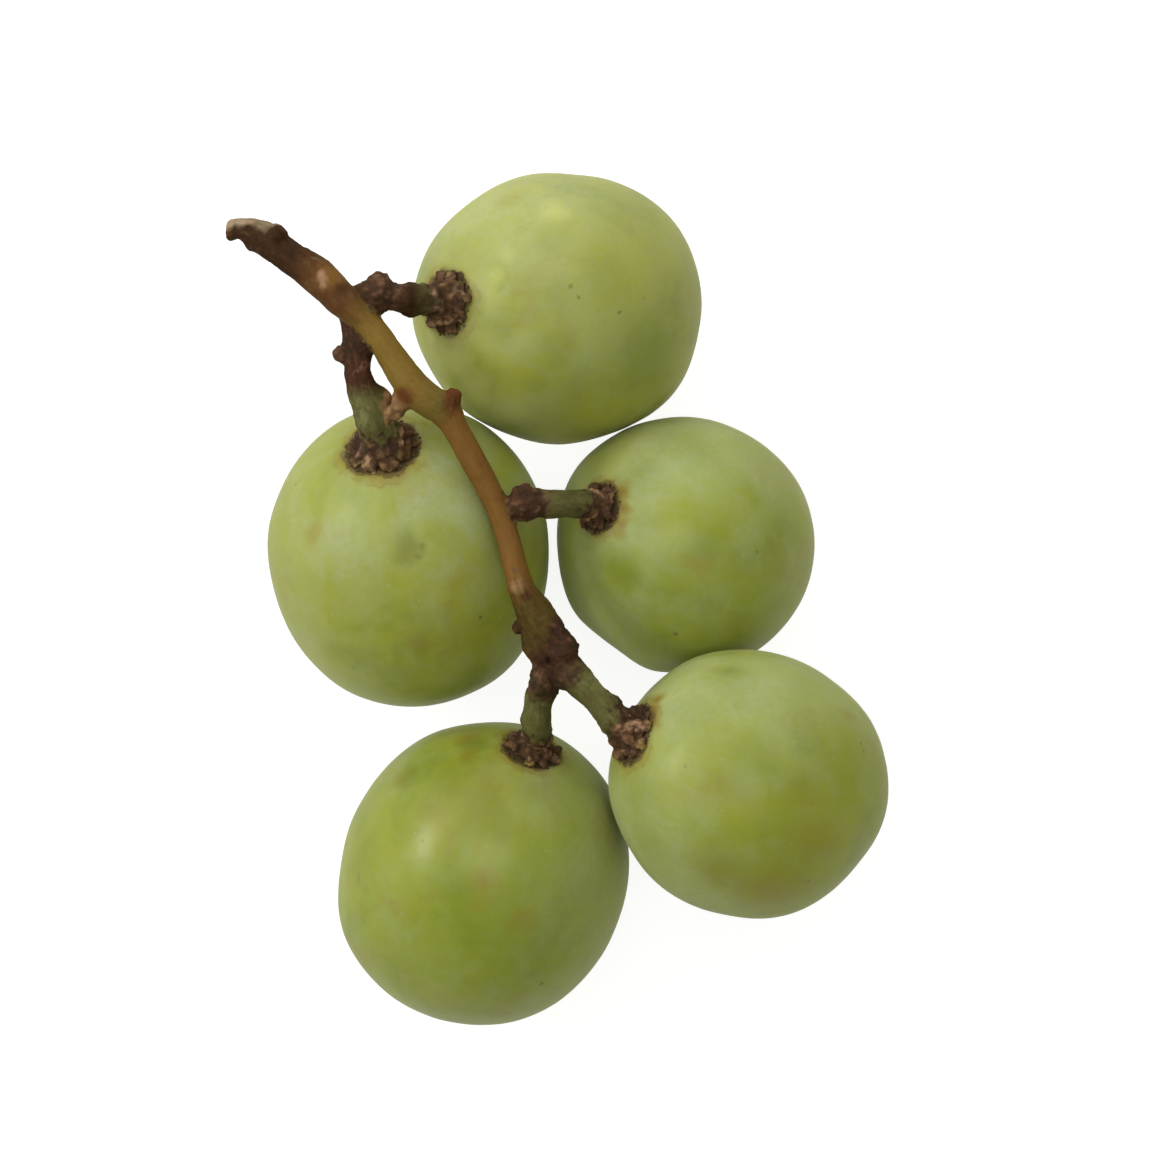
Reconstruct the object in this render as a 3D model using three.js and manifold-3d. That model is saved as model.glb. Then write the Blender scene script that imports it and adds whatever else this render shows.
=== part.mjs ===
// A small bunch of white table grapes, picked and lying on a surface: one woody stem with
// its side stalks, and the five berries that it carries. Millimetres, +Z up.
//
// Four berries rest on the surface. The fifth, at the lower right, leans over two of them,
// and the stem runs above them all. The origin is on the surface, under the middle of the
// bunch.

import * as THREE from 'three';
import { mergeVertices } from 'three/addons/utils/BufferGeometryUtils.js';
import Module from 'manifold-3d';

const wasm = await Module();
wasm.setup();

// ---- Driving dimensions ----

const CLEARANCE = 0.3; // air between the stem and a berry, where the real ones meet
const FLAT_DEPTH = 0.15; // how far a resting berry is pressed flat
const DIMPLE_DEPTH = 0.5; // the hollow in a berry round the foot of its stalk
const DIMPLE_REACH = 2.6; // how far from the stalk's axis that hollow fades out

// middle is a berry's centre seen from above. halfLength is along its stalk's axis and
// halfWidth across it. The stalk leaves towards heading, turned from +X to +Y, and climbs
// at rise, both in degrees. capRadius is how far the cork round the stalk's foot reaches.
// A berry with a height is held there, clear of the surface.
const BERRIES = [
  {
    name: 'berry_upper_right',
    middle: [-2.2, 22.3],
    halfLength: 12.1,
    halfWidth: 10.85,
    heading: 182,
    rise: 44,
    capRadius: 2.65,
  },
  {
    name: 'berry_left',
    middle: [-14.1, 2.2],
    halfLength: 12.65,
    halfWidth: 11.15,
    heading: 101,
    rise: 45,
    capRadius: 3.1,
  },
  {
    name: 'berry_right',
    middle: [8.0, 3.25],
    halfLength: 10.6,
    halfWidth: 10.15,
    heading: 158,
    rise: 45,
    capRadius: 2.25,
  },
  {
    name: 'berry_lower_right',
    middle: [12.8, -15.55],
    height: 17.9,
    halfLength: 11.15,
    halfWidth: 10.35,
    heading: 156,
    rise: 25,
    capRadius: 2.6,
  },
  {
    name: 'berry_lower_left',
    middle: [-8.05, -23.05],
    halfLength: 12.75,
    halfWidth: 11.4,
    heading: 69,
    rise: 30,
    capRadius: 2.4,
  },
];

// The main stem from its cut end to its fork. Each point is [x, y, z, radius].
const MAIN_STEM = [
  [-27.9, 27.4, 21.8, 0.9],
  [-26.7, 27.35, 22.2, 1.05],
  [-24.9, 26.6, 22.8, 1.15],
  [-22.7, 25.1, 23.4, 1.2],
  [-20.5, 23.7, 23.9, 1.3],
  [-18.4, 21.8, 24.2, 1.25],
  [-16.4, 19.7, 24.1, 1.0],
  [-14.8, 17.4, 23.8, 1.1],
  [-13.3, 15.2, 23.5, 1.4],
  [-11.5, 13.8, 23.2, 1.3],
  [-10.4, 12.7, 22.9, 1.05],
  [-8.8, 9.9, 22.4, 1.05],
  [-6.8, 6.1, 21.9, 0.98],
  [-5.9, 3.4, 21.8, 0.98],
  [-5.3, 1.0, 22.0, 1.0],
  [-4.3, -1.9, 22.4, 1.2],
  [-3.0, -3.8, 22.8, 1.4],
  [-2.2, -5.5, 23.0, 1.5],
];

// Each berry's stalk, from above its foot to the inside of the main stem.
const STALKS = {
  berry_upper_right: [
    [-12.0, 22.2, 21.4, 1.2],
    [-13.8, 22.1, 22.3, 1.2],
    [-15.9, 22.4, 23.0, 1.3],
    [-17.6, 21.9, 23.7, 1.1],
  ],
  berry_left: [
    [-16.4, 12.7, 22.5, 1.4],
    [-17.0, 14.3, 23.0, 1.15],
    [-17.2, 15.7, 23.1, 1.05],
    [-17.4, 17.6, 22.9, 1.2],
    [-17.7, 19.4, 22.9, 1.05],
    [-18.0, 21.5, 23.6, 1.0],
  ],
  berry_right: [
    [-0.9, 6.3, 20.0, 1.15],
    [-2.5, 6.4, 20.9, 1.05],
    [-4.5, 6.3, 21.5, 1.15],
    [-6.0, 6.0, 21.9, 0.9],
  ],
  berry_lower_right: [
    [1.8, -9.7, 23.8, 1.3],
    [0.7, -8.6, 23.9, 1.1],
    [-0.5, -7.4, 23.7, 1.3],
    [-1.9, -5.8, 23.1, 1.3],
  ],
  berry_lower_left: [
    [-3.7, -10.9, 20.8, 1.15],
    [-3.5, -9.2, 22.0, 1.0],
    [-3.1, -7.8, 22.7, 1.2],
    [-2.3, -6.1, 23.0, 1.1],
  ],
};

// What is left of two side stalks that broke off long ago.
const BROKEN_STALKS = [
  [
    [-13.3, 15.1, 23.5, 1.0],
    [-14.4, 14.0, 23.1, 0.95],
    [-15.1, 12.9, 22.9, 0.75],
  ],
  [
    [-11.1, 13.2, 23.1, 0.85],
    [-10.5, 14.2, 23.3, 0.65],
    [-10.1, 15.0, 23.5, 0.55],
  ],
];

// Woody knots where stalks leave, scars, and buds that came to nothing: [x, y, z, radius].
const KNOTS = [
  [-15.9, 22.6, 23.2, 1.45],
  [-16.6, 21.6, 23.4, 1.1],
  [-18.6, 17.8, 23.0, 0.75],
  [-17.4, 18.5, 22.9, 1.3],
  [-16.2, 14.9, 22.9, 0.65],
  [-4.6, 6.3, 21.7, 1.4],
  [-4.9, 7.0, 22.0, 0.9],
  [-5.2, -0.2, 22.6, 0.9],
  [-5.1, -3.3, 22.4, 0.6],
  [-23.7, 26.9, 23.7, 0.8],
  [-1.7, -5.1, 23.6, 1.2],
  [-1.2, -7.1, 23.7, 1.2],
  [-3.1, -7.5, 23.1, 1.25],
];

// A stalk's foot spreads on its berry: [distance out from the berry, radius], as shares
// of the cap's radius.
const FOOT = [
  [-0.45, 0.82],
  [0.17, 0.8],
  [0.5, 0.55],
];

// The corky lumps round each foot, in rings: how many, and as shares of the cap's radius,
// how far from the stalk's axis, how far out from the berry, and their own radius.
const LUMP_RINGS = [
  { count: 10, reach: 0.76, out: 0.15, radius: 0.24 },
  { count: 6, reach: 0.53, out: 0.36, radius: 0.22 },
];
const LUMP_SPREAD = 0.12; // how much a lump's place and size differ, as a share
const LUMP_SEED = 11;

const LIMB_SIDES = 10;
const LIMB_STEPS = 2; // from one point of a limb's route to the next
const BERRY_SIDES = 30;
const BERRY_BANDS = 19;

// ---- Materials ----

const SKIN = new THREE.MeshStandardMaterial({
  name: 'grape_skin',
  color: 0x9fae5c,
  roughness: 0.42,
  metalness: 0,
});
const BARK = new THREE.MeshStandardMaterial({
  name: 'stem_bark',
  color: 0x6b4a2c,
  roughness: 0.8,
  metalness: 0,
});

// ---- Solids ----

// A closed geometry as a solid that can be joined and cut.
function solidOf(geometry) {
  geometry.deleteAttribute('normal');
  geometry.deleteAttribute('uv');
  const merged = mergeVertices(geometry);
  return new wasm.Manifold(
    new wasm.Mesh({
      numProp: 3,
      vertProperties: new Float32Array(merged.attributes.position.array),
      triVerts: new Uint32Array(merged.index.array),
    })
  );
}

function meshOf(solid, name, material) {
  const { vertProperties, triVerts } = solid.getMesh();
  const geometry = new THREE.BufferGeometry();
  geometry.setAttribute('position', new THREE.BufferAttribute(vertProperties, 3));
  geometry.setIndex(new THREE.BufferAttribute(triVerts, 1));
  geometry.computeVertexNormals();
  const mesh = new THREE.Mesh(geometry, material);
  mesh.name = name;
  return mesh;
}

const joined = (solids) => solids.reduce((whole, solid) => whole.add(solid));

// ---- Berries ----

function stalkAxis({ heading, rise }) {
  const turn = THREE.MathUtils.degToRad(heading);
  const climb = THREE.MathUtils.degToRad(rise);
  return new THREE.Vector3(
    Math.cos(climb) * Math.cos(turn),
    Math.cos(climb) * Math.sin(turn),
    Math.sin(climb)
  );
}

// The height of a berry's centre: as given, or where its pressed underside meets z = 0.
function centreHeight(berry) {
  if (berry.height !== undefined) return berry.height;
  const climb = THREE.MathUtils.degToRad(berry.rise);
  const halfHeight = Math.hypot(
    berry.halfLength * Math.sin(climb),
    berry.halfWidth * Math.cos(climb)
  );
  return halfHeight - FLAT_DEPTH;
}

const centreOf = (berry) => new THREE.Vector3(...berry.middle, centreHeight(berry));

// The skin's form about the berry's own centre, grown all over by extra.
function berryForm(berry, extra = 0) {
  const geometry = new THREE.SphereGeometry(1, BERRY_SIDES, BERRY_BANDS).rotateX(Math.PI / 2);
  geometry.scale(
    berry.halfWidth + extra,
    berry.halfWidth + extra,
    berry.halfLength + extra
  );
  const position = geometry.attributes.position;
  for (let i = 0; i < position.count; i++) {
    const reach = Math.hypot(position.getX(i), position.getY(i));
    const z = position.getZ(i);
    if (z > 0) {
      const hollow = DIMPLE_DEPTH * Math.exp(-((reach / DIMPLE_REACH) ** 2));
      position.setZ(i, z - hollow);
    }
  }
  const up = new THREE.Vector3(0, 0, 1);
  const tilt = new THREE.Quaternion().setFromUnitVectors(up, stalkAxis(berry));
  return solidOf(geometry.applyQuaternion(tilt));
}

function berryMesh(berry) {
  const centre = centreOf(berry);
  const side = 4 * berry.halfLength;
  const below = new THREE.BoxGeometry(side, side, side);
  below.translate(0, 0, -centre.z - side / 2);
  const pressed = berryForm(berry).subtract(solidOf(below));
  const mesh = meshOf(pressed, berry.name, SKIN);
  mesh.position.copy(centre);
  return mesh;
}

// ---- Stem ----

// A round limb with closed ends along a smooth route of [x, y, z, radius] points.
function limb(route) {
  const line = new THREE.CatmullRomCurve3(route.map(([x, y, z]) => new THREE.Vector3(x, y, z)));
  const girth = new THREE.CatmullRomCurve3(route.map((point) => new THREE.Vector3(point[3])));
  const steps = LIMB_STEPS * (route.length - 1);

  const rings = [];
  const across = new THREE.Vector3(0, 0, 1);
  for (let i = 0; i <= steps; i++) {
    const along = line.getTangent(i / steps);
    across.addScaledVector(along, -across.dot(along)).normalize();
    rings.push({
      centre: line.getPoint(i / steps),
      radius: girth.getPoint(i / steps).x,
      across: across.clone(),
      upward: new THREE.Vector3().crossVectors(across, along),
    });
  }

  const geometry = new THREE.CylinderGeometry(1, 1, 1, LIMB_SIDES, steps);
  const position = geometry.attributes.position;
  const vertex = new THREE.Vector3();
  for (let i = 0; i < position.count; i++) {
    const ring = rings[Math.round((position.getY(i) + 0.5) * steps)];
    vertex.copy(ring.centre);
    vertex.addScaledVector(ring.across, position.getX(i) * ring.radius);
    vertex.addScaledVector(ring.upward, position.getZ(i) * ring.radius);
    position.setXYZ(i, ...vertex);
  }
  return solidOf(geometry);
}

const seeded = () => THREE.MathUtils.seededRandom();
const varied = (value) => value * (1 + LUMP_SPREAD * (2 * seeded() - 1));

// An angular knob turned at random.
function knob(centre, radius, detail) {
  const geometry = new THREE.IcosahedronGeometry(radius, detail);
  geometry.rotateX(Math.PI * seeded());
  geometry.rotateY(Math.PI * seeded());
  geometry.translate(...centre);
  return solidOf(geometry);
}

const footCentre = (berry) =>
  centreOf(berry).addScaledVector(stalkAxis(berry), berry.halfLength - DIMPLE_DEPTH);

// A berry's stalk: its spread foot, then the way to the main stem.
function stalk(berry) {
  const axis = stalkAxis(berry);
  const foot = FOOT.map(([out, radius]) => [
    ...footCentre(berry).addScaledVector(axis, out * berry.capRadius),
    radius * berry.capRadius,
  ]);
  return limb([...foot, ...STALKS[berry.name]]);
}

// The rings of corky lumps round a stalk's foot.
function footLumps(berry) {
  const up = new THREE.Vector3(0, 0, 1);
  const tilt = new THREE.Quaternion().setFromUnitVectors(up, stalkAxis(berry));
  const lumps = [];
  for (const ring of LUMP_RINGS) {
    for (let i = 0; i < ring.count; i++) {
      const angle = ((i + LUMP_SPREAD * seeded()) / ring.count) * 2 * Math.PI;
      const reach = varied(ring.reach * berry.capRadius);
      const fallAway = reach ** 2 / (2 * berry.halfWidth);
      const place = new THREE.Vector3(
        reach * Math.cos(angle),
        reach * Math.sin(angle),
        ring.out * berry.capRadius - fallAway
      );
      place.applyQuaternion(tilt).add(footCentre(berry));
      lumps.push(knob(place, varied(ring.radius * berry.capRadius), 0));
    }
  }
  return joined(lumps);
}

function stemMesh() {
  THREE.MathUtils.seededRandom(LUMP_SEED);
  const wood = joined([
    limb(MAIN_STEM),
    ...BROKEN_STALKS.map(limb),
    ...KNOTS.map(([x, y, z, radius]) => knob([x, y, z], radius, 1)),
    ...BERRIES.map(stalk),
    ...BERRIES.map(footLumps),
  ]);
  const kept = BERRIES.reduce((stem, berry) => {
    const room = berryForm(berry, CLEARANCE).translate(...centreOf(berry));
    return stem.subtract(room);
  }, wood);
  return meshOf(kept, 'stem', BARK);
}

// ---- The bunch, with its origin under its middle ----

const bunch = new THREE.Group();
bunch.name = 'bunch_of_grapes';
bunch.add(stemMesh(), ...BERRIES.map(berryMesh));

const middle = new THREE.Box3().setFromObject(bunch).getCenter(new THREE.Vector3());
bunch.position.set(-middle.x, -middle.y, 0);

export default bunch;
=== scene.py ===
"""The looks of a small bunch of white table grapes: five berries with a waxy bloom on a
woody stem with corky caps. The bunch lies on a pale surface and is seen from above."""

import math
import random

import bmesh
import bpy
import numpy as np
from mathutils import Matrix, Vector
from mathutils.bvhtree import BVHTree


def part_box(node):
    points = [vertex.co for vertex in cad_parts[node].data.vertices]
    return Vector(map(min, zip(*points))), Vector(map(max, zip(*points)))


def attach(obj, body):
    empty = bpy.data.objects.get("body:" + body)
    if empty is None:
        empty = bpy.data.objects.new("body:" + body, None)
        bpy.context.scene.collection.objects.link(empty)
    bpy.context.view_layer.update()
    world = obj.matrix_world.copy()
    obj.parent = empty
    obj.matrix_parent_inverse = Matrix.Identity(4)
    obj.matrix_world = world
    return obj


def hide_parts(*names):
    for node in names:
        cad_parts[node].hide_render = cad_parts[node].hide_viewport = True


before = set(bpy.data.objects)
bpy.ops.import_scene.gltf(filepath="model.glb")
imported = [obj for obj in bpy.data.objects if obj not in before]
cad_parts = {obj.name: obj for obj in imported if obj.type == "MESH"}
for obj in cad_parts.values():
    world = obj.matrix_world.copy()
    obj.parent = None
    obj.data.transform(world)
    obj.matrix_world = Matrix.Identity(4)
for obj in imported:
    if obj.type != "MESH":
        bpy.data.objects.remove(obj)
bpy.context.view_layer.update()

MM = 0.001

# ---- Driving sizes, in millimetres. Places are in the bunch's own plan, whose origin is
# carried to the frame's by plan_shift. ----

# A berry's stalk leaves towards heading, from +X to +Y, and climbs at rise, in degrees.
# cap_radius is the reach of the cork round its foot, and cork_top how far the cork climbs
# the stalk, as a share of it. ripeness runs from green to yellow and bloom from a wiped
# skin to a dusty one. touches names the berries that it is pressed against. swells are
# soft bulges, or dents where the height is negative: (heading, height, spread).
BERRIES = {
    "berry_upper_right": dict(
        half_length=12.1, half_width=10.85, heading=182, rise=44,
        cap_radius=2.65, cork_top=1.45, ripeness=0.8, bloom=0.58, seed=3.0,
        touches=("berry_right",),
        swells=((128, -0.4, 0.12), (86, -0.32, 0.03), (325, 0.42, 0.05), (204, -0.16, 0.03),
                (42, 0.22, 0.06), (268, 0.28, 0.03)),
    ),
    "berry_left": dict(
        half_length=12.65, half_width=11.15, heading=101, rise=45,
        cap_radius=3.1, cork_top=1.0, ripeness=0.52, bloom=0.64, seed=11.0,
        touches=(),
        swells=((45, 0.4, 0.1), (192, -0.14, 0.04), (66, 0.28, 0.03), (312, 0.18, 0.06),
                (110, 0.2, 0.05), (15, 0.14, 0.03)),
    ),
    "berry_right": dict(
        half_length=10.6, half_width=10.15, heading=158, rise=45,
        cap_radius=2.12, cork_top=1.5, ripeness=0.38, bloom=0.62, seed=19.0,
        touches=("berry_upper_right", "berry_lower_right"),
        swells=((184, -0.2, 0.03), (234, -0.3, 0.03), (30, 0.15, 0.06), (255, 0.25, 0.02),
                (146, 0.2, 0.04), (212, 0.16, 0.02)),
    ),
    "berry_lower_right": dict(
        half_length=11.15, half_width=10.35, heading=156, rise=25,
        cap_radius=2.6, cork_top=1.4, ripeness=0.38, bloom=0.62, seed=29.0,
        touches=("berry_right", "berry_lower_left"),
        swells=((324, -0.42, 0.05), (150, -0.3, 0.04), (25, 0.16, 0.05), (283, 0.16, 0.03),
                (225, 0.12, 0.03), (130, -0.2, 0.02)),
    ),
    "berry_lower_left": dict(
        half_length=12.75, half_width=11.4, heading=69, rise=30,
        cap_radius=2.4, cork_top=1.3, ripeness=0.28, bloom=0.36, seed=37.0,
        touches=("berry_lower_right",),
        swells=((92, -0.3, 0.04), (202, 0.36, 0.05), (258, -0.24, 0.06), (140, -0.14, 0.04),
                (340, -0.18, 0.03), (172, -0.12, 0.02)),
    ),
}
LEFT = "berry_left"
LEFT_MIDDLE = (-14.1, 2.2)  # where the plan has that berry's centre
SWELLS = range(1, 7)
TOUCHES = (1, 2)
SWELL_RISE = 5.0     # how high round a berry the swells lie, in degrees
PLUMP = 0.05         # the skin's fullness past the solid's
HOLLOW_DEPTH = 0.3   # the hollow round a stalk's foot
HOLLOW_REACH = 2.6
COLLAR_PLACE = 1.15  # the low collar round the cap, as a share of the cap's radius
COLLAR_WIDTH = 0.55
COLLAR_HEIGHT = 0.09
DENT_WIDTH = 1.9     # the dent at the blossom end
DENT_DEPTH = 0.32
NUB_WIDTH = 0.42     # the nub in that dent
NUB_HEIGHT = 0.24
END_FADE = 0.3       # how far from its waist a berry's ends take on their shape, as a share
CAP_SIDE = 0.2       # and where the stalk's side begins
SLOW_SWING = 0.42    # how far the skin strays from a plain ball, in broad waves and in fine
FINE_SWING = 0.045
TOUCH_GAP = 0.01     # left between two berries pressed together, on each side
FAR = 9.0            # out of reach, for what is counted in radii
FAR_BELOW = (0.0, 0.0, -1000.0)
DOWN = (0.0, 0.0, -1.0)
BERRY_LEVEL = 7      # subdivisions of the icosphere under each berry

# The limbs of the stem: (x, y, z, radius, tone) from the cut end, or from above a foot.
MAIN_STEM = [
    (-27.9, 27.4, 21.8, 0.9, "brown_wood"),
    (-26.7, 27.35, 22.2, 1.05, "old_bark"),
    (-24.9, 26.6, 22.8, 1.15, "old_bark"),
    (-22.7, 25.1, 23.4, 1.2, "old_bark"),
    (-20.5, 23.7, 23.9, 1.3, "brown_wood"),
    (-18.4, 21.8, 24.2, 1.25, "brown_wood"),
    (-16.4, 19.7, 24.1, 1.0, "ochre_wood"),
    (-14.8, 17.4, 23.8, 1.1, "ochre_wood"),
    (-13.3, 15.2, 23.5, 1.4, "ochre_wood"),
    (-11.5, 13.8, 23.2, 1.3, "olive_wood"),
    (-10.4, 12.7, 22.9, 1.05, "rust_wood"),
    (-8.8, 9.9, 22.4, 1.05, "rust_wood"),
    (-6.8, 6.1, 21.9, 0.98, "rust_wood"),
    (-5.9, 3.4, 21.8, 0.98, "rust_wood"),
    (-5.3, 1.0, 22.0, 1.0, "rust_wood"),
    (-4.3, -1.9, 22.4, 1.2, "olive_bark"),
    (-3.0, -3.8, 22.8, 1.4, "olive_bark"),
    (-2.2, -5.5, 23.0, 1.5, "plum_bark"),
]
STALKS = {
    "berry_upper_right": [
        (-12.0, 22.2, 21.4, 1.2, "green_neck"),
        (-13.8, 22.1, 22.3, 1.2, "old_bark"),
        (-15.9, 22.4, 23.0, 1.3, "knot_bark"),
        (-17.6, 21.9, 23.7, 1.1, "old_bark"),
    ],
    "berry_left": [
        (-16.4, 12.7, 22.5, 1.4, "green_neck"),
        (-17.0, 14.3, 23.0, 1.15, "green_neck"),
        (-17.2, 15.7, 23.1, 1.05, "plum_bark"),
        (-17.4, 17.6, 22.9, 1.2, "plum_bark"),
        (-17.7, 19.4, 22.9, 1.05, "plum_bark"),
        (-18.0, 21.5, 23.6, 1.0, "plum_bark"),
    ],
    "berry_right": [
        (-0.9, 6.3, 20.0, 1.15, "green_neck"),
        (-2.5, 6.4, 20.9, 1.05, "green_neck"),
        (-4.5, 6.3, 21.5, 1.15, "knot_bark"),
        (-6.0, 6.0, 21.9, 0.9, "rust_wood"),
    ],
    "berry_lower_right": [
        (1.8, -9.7, 23.8, 1.3, "green_neck"),
        (0.7, -8.6, 23.9, 1.1, "green_neck"),
        (-0.5, -7.4, 23.7, 1.3, "green_neck"),
        (-1.9, -5.8, 23.1, 1.3, "plum_bark"),
    ],
    "berry_lower_left": [
        (-3.7, -10.9, 20.8, 1.15, "green_neck"),
        (-3.5, -9.2, 22.0, 1.0, "green_neck"),
        (-3.1, -7.8, 22.7, 1.2, "green_neck"),
        (-2.3, -6.1, 23.0, 1.1, "plum_bark"),
    ],
}
BROKEN_STALKS = [
    [
        (-13.3, 15.1, 23.5, 1.0, "ochre_wood"),
        (-14.4, 14.0, 23.1, 0.95, "scar_wood"),
        (-15.1, 12.9, 22.9, 0.75, "scar_wood"),
    ],
    [
        (-11.1, 13.2, 23.1, 0.85, "olive_wood"),
        (-10.5, 14.2, 23.3, 0.65, "rust_bark"),
        (-10.1, 15.0, 23.5, 0.55, "rust_bark"),
    ],
]

# Knots and scars on the limbs: (x, y, z, radius, tone, how corky).
KNOTS = [
    (-15.9, 22.6, 23.2, 1.45, "knot_bark", 1.0),
    (-16.6, 21.6, 23.4, 1.1, "old_bark", 0.9),
    (-18.6, 17.8, 23.0, 0.75, "knot_bark", 0.8),
    (-17.4, 18.5, 22.9, 1.3, "plum_bark", 0.9),
    (-14.6, 13.5, 23.3, 0.9, "scar_wood", 0.4),
    (-13.8, 14.6, 24.2, 0.7, "rust_knot", 0.1),
    (-10.4, 13.9, 23.4, 0.85, "rust_bark", 0.2),
    (-19.4, 23.6, 24.6, 1.0, "rust_wood", 0.0),
    (-18.7, 22.5, 24.9, 0.6, "umber_wood", 0.0),
    (-16.2, 14.9, 22.9, 0.65, "olive_bark", 0.1),
    (-4.6, 6.3, 21.7, 1.4, "knot_bark", 1.0),
    (-4.9, 7.0, 22.0, 0.9, "plum_bark", 1.0),
    (-4.5, -0.9, 22.9, 0.5, "plum_bark", 0.2),
    (-5.2, -0.15, 23.0, 0.5, "scar_wood", 0.1),
    (-5.1, -3.3, 22.4, 0.6, "plum_bark", 0.5),
    (-2.0, -3.6, 23.2, 1.0, "plum_bark", 0.7),
    (-4.3, -4.2, 22.8, 0.8, "olive_bark", 0.4),
    (-23.7, 26.9, 23.7, 0.8, "old_bark", 0.2),
    (-1.7, -5.1, 23.6, 1.2, "plum_bark", 1.0),
    (-1.2, -7.1, 23.7, 1.1, "plum_bark", 0.9),
    (-3.1, -7.5, 23.1, 1.25, "plum_bark", 0.9),
    (-1.5, -7.0, 24.4, 0.45, "knot_bark", 0.9),
    (-3.6, -6.9, 23.9, 0.4, "knot_bark", 0.9),
    (-1.0, -5.3, 24.2, 0.4, "knot_bark", 0.9),
    # A scar on the stem's top, painted paler as a painted highlight.
    (-20.2, 23.75, 25.0, 0.28, "pale_scar", 0.0),
    (-20.1, 23.4, 25.0, 0.34, "pale_scar", 0.0),
    (-20.0, 23.05, 25.0, 0.28, "pale_scar", 0.0),
    # Painted highlight: a pale, greyish band along the lit upper edge of the stem's cut end.
    (-27.6, 28.1, 22.6, 0.6, "weathered", 0.0),
    (-26.5, 28.2, 22.9, 0.6, "weathered", 0.0),
    (-25.6, 28.25, 23.1, 0.5, "weathered", 0.0),
    (-24.7, 28.0, 23.4, 0.65, "grey_bark", 0.0),
    (-23.9, 27.7, 23.5, 0.4, "grey_bark", 0.0),
    (-5.3, 1.1, 23.0, 0.2, "cork", 0.0),
    (-6.2, 0.5, 22.6, 0.2, "cork", 0.0),
]

# Where the stem is drawn out, or in, past its solid: (x, y, z, reach, dx, dy, dz).
PULLS = [
    (-27.9, 27.4, 21.8, 1.3, 0.45, 0.0, 0.0),
    (-26.7, 26.3, 22.1, 0.8, 0.0, 0.5, 0.0),
    (-25.5, 27.9, 22.8, 0.9, 0.0, 0.25, 0.1),
    (-24.2, 27.6, 23.0, 0.8, 0.1, 0.45, 0.0),
    (-22.8, 26.6, 23.4, 0.8, 0.1, 0.15, 0.0),
    (-21.4, 25.7, 23.8, 1.5, 0.12, 0.15, 0.0),
    (-19.6, 24.8, 24.1, 1.5, 0.12, 0.15, 0.0),
    (-26.1, 25.8, 22.4, 0.5, -0.1, -0.2, 0.0),
    (-21.2, 22.3, 23.8, 1.6, -0.13, -0.15, 0.0),
    (-19.5, 20.9, 24.0, 1.3, -0.13, -0.15, 0.0),
    (-14.9, 20.0, 23.8, 1.2, 0.15, 0.1, 0.0),
    (-13.4, 18.0, 23.7, 1.5, 0.11, 0.07, 0.0),
    (-12.1, 16.2, 23.5, 1.3, 0.03, 0.02, 0.0),
    (-15.9, 24.1, 23.2, 0.8, 0.0, 0.2, 0.1),
    (-14.5, 23.4, 22.6, 0.6, 0.0, -0.22, 0.0),
    (-14.6, 20.9, 22.6, 0.6, 0.0, 0.15, 0.0),
    (-13.4, 20.7, 22.0, 0.8, 0.0, -0.4, 0.0),
    (-13.3, 23.5, 22.4, 0.6, 0.0, 0.2, 0.1),
    (-19.3, 17.8, 22.9, 0.8, -0.2, -0.1, 0.0),
    (-18.4, 16.0, 22.9, 0.9, -0.3, 0.0, 0.0),
    (-16.4, 16.8, 22.9, 0.8, -0.4, 0.0, 0.0),
    (-15.7, 14.3, 22.9, 0.9, 0.95, 0.0, 0.0),
    (-18.1, 14.7, 22.8, 0.6, -0.2, 0.0, 0.0),
    (-14.8, 14.2, 22.8, 0.7, -0.5, 0.0, 0.0),
    (-15.9, 20.9, 23.4, 0.7, 0.3, 0.0, 0.0),
    (-10.2, 14.4, 23.4, 0.9, 0.3, 0.1, 0.0),
    (-9.9, 13.4, 23.2, 0.8, 0.25, 0.0, 0.0),
    (-2.6, 5.4, 20.9, 0.9, 0.0, -0.25, 0.0),
    (-3.1, -1.3, 22.4, 1.0, 0.5, 0.1, 0.0),
    (-2.3, -2.8, 22.7, 1.2, 0.25, 0.15, 0.0),
    (-1.1, -4.1, 23.2, 0.8, 0.25, 0.2, 0.0),
    (-3.9, -5.6, 22.7, 1.0, -0.75, 0.1, 0.0),
    (-4.3, -4.5, 22.6, 0.9, -0.55, -0.1, 0.0),
    (-4.3, -8.6, 22.1, 1.2, -0.3, 0.0, 0.0),
    (-4.9, -10.2, 21.2, 0.8, -0.35, -0.1, 0.0),
    (3.5, -9.4, 22.3, 0.9, 0.0, 0.35, 0.0),
    (2.5, 5.4, 19.2, 1.4, -0.4, 0.1, 0.0),
]

STEM_VOXEL = 0.12        # the size of the stem's faces
STEM_SMOOTHING = 22      # rounds that melt the solid's flat faces together
CUT_DEPTH = 0.12         # how deep the sawn end is
LIMB_STRIDE = 31.0       # keeps the limbs' patterns apart
KNOT_EDGE = (1.65, 0.6)  # where a knot's tone ends and is full, in its radii
KNOT_RIPPLE = 0.2
CORK_FADE = 0.9          # over how much of a cap's radius the cork thins out up the stalk
CORK_REACH = 1.9         # how far up the stalk a cap's cork can lie, in its radii
CORK_EDGE = (1.7, 1.4)   # where the cork ends and is full, from a cap's middle, in its radii
CORK_RIPPLE = 0.35       # how uneven those borders are, in waves of two sizes
CORK_WAVES = (4.3, 9.1)
RIM_EDGE = (0.72, 0.98)  # where a cap's rim begins and is full
RIDGE_STRETCH = (1.0, 1.0, 0.28)   # draws the bark's ridges out along its limb
STREAK_STRETCH = (1.0, 1.0, 0.22)  # and its streaks
COBBLE_SWAY = 0.7        # how far the cobbles are bent
SMALL_COBBLE = 0.42      # the smaller cobbles' size and height, as shares of the larger ones'
SMALL_RISE = 0.4
LUMP_DENSITY = 40.0
LUMP_DEPTH = 0.86        # how deep a lump of cork is sunk, as a share of its radius
LUMP_SHAPES = ((0.6, 0.6, 0.5), (1.35, 1.25, 0.95))
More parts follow.
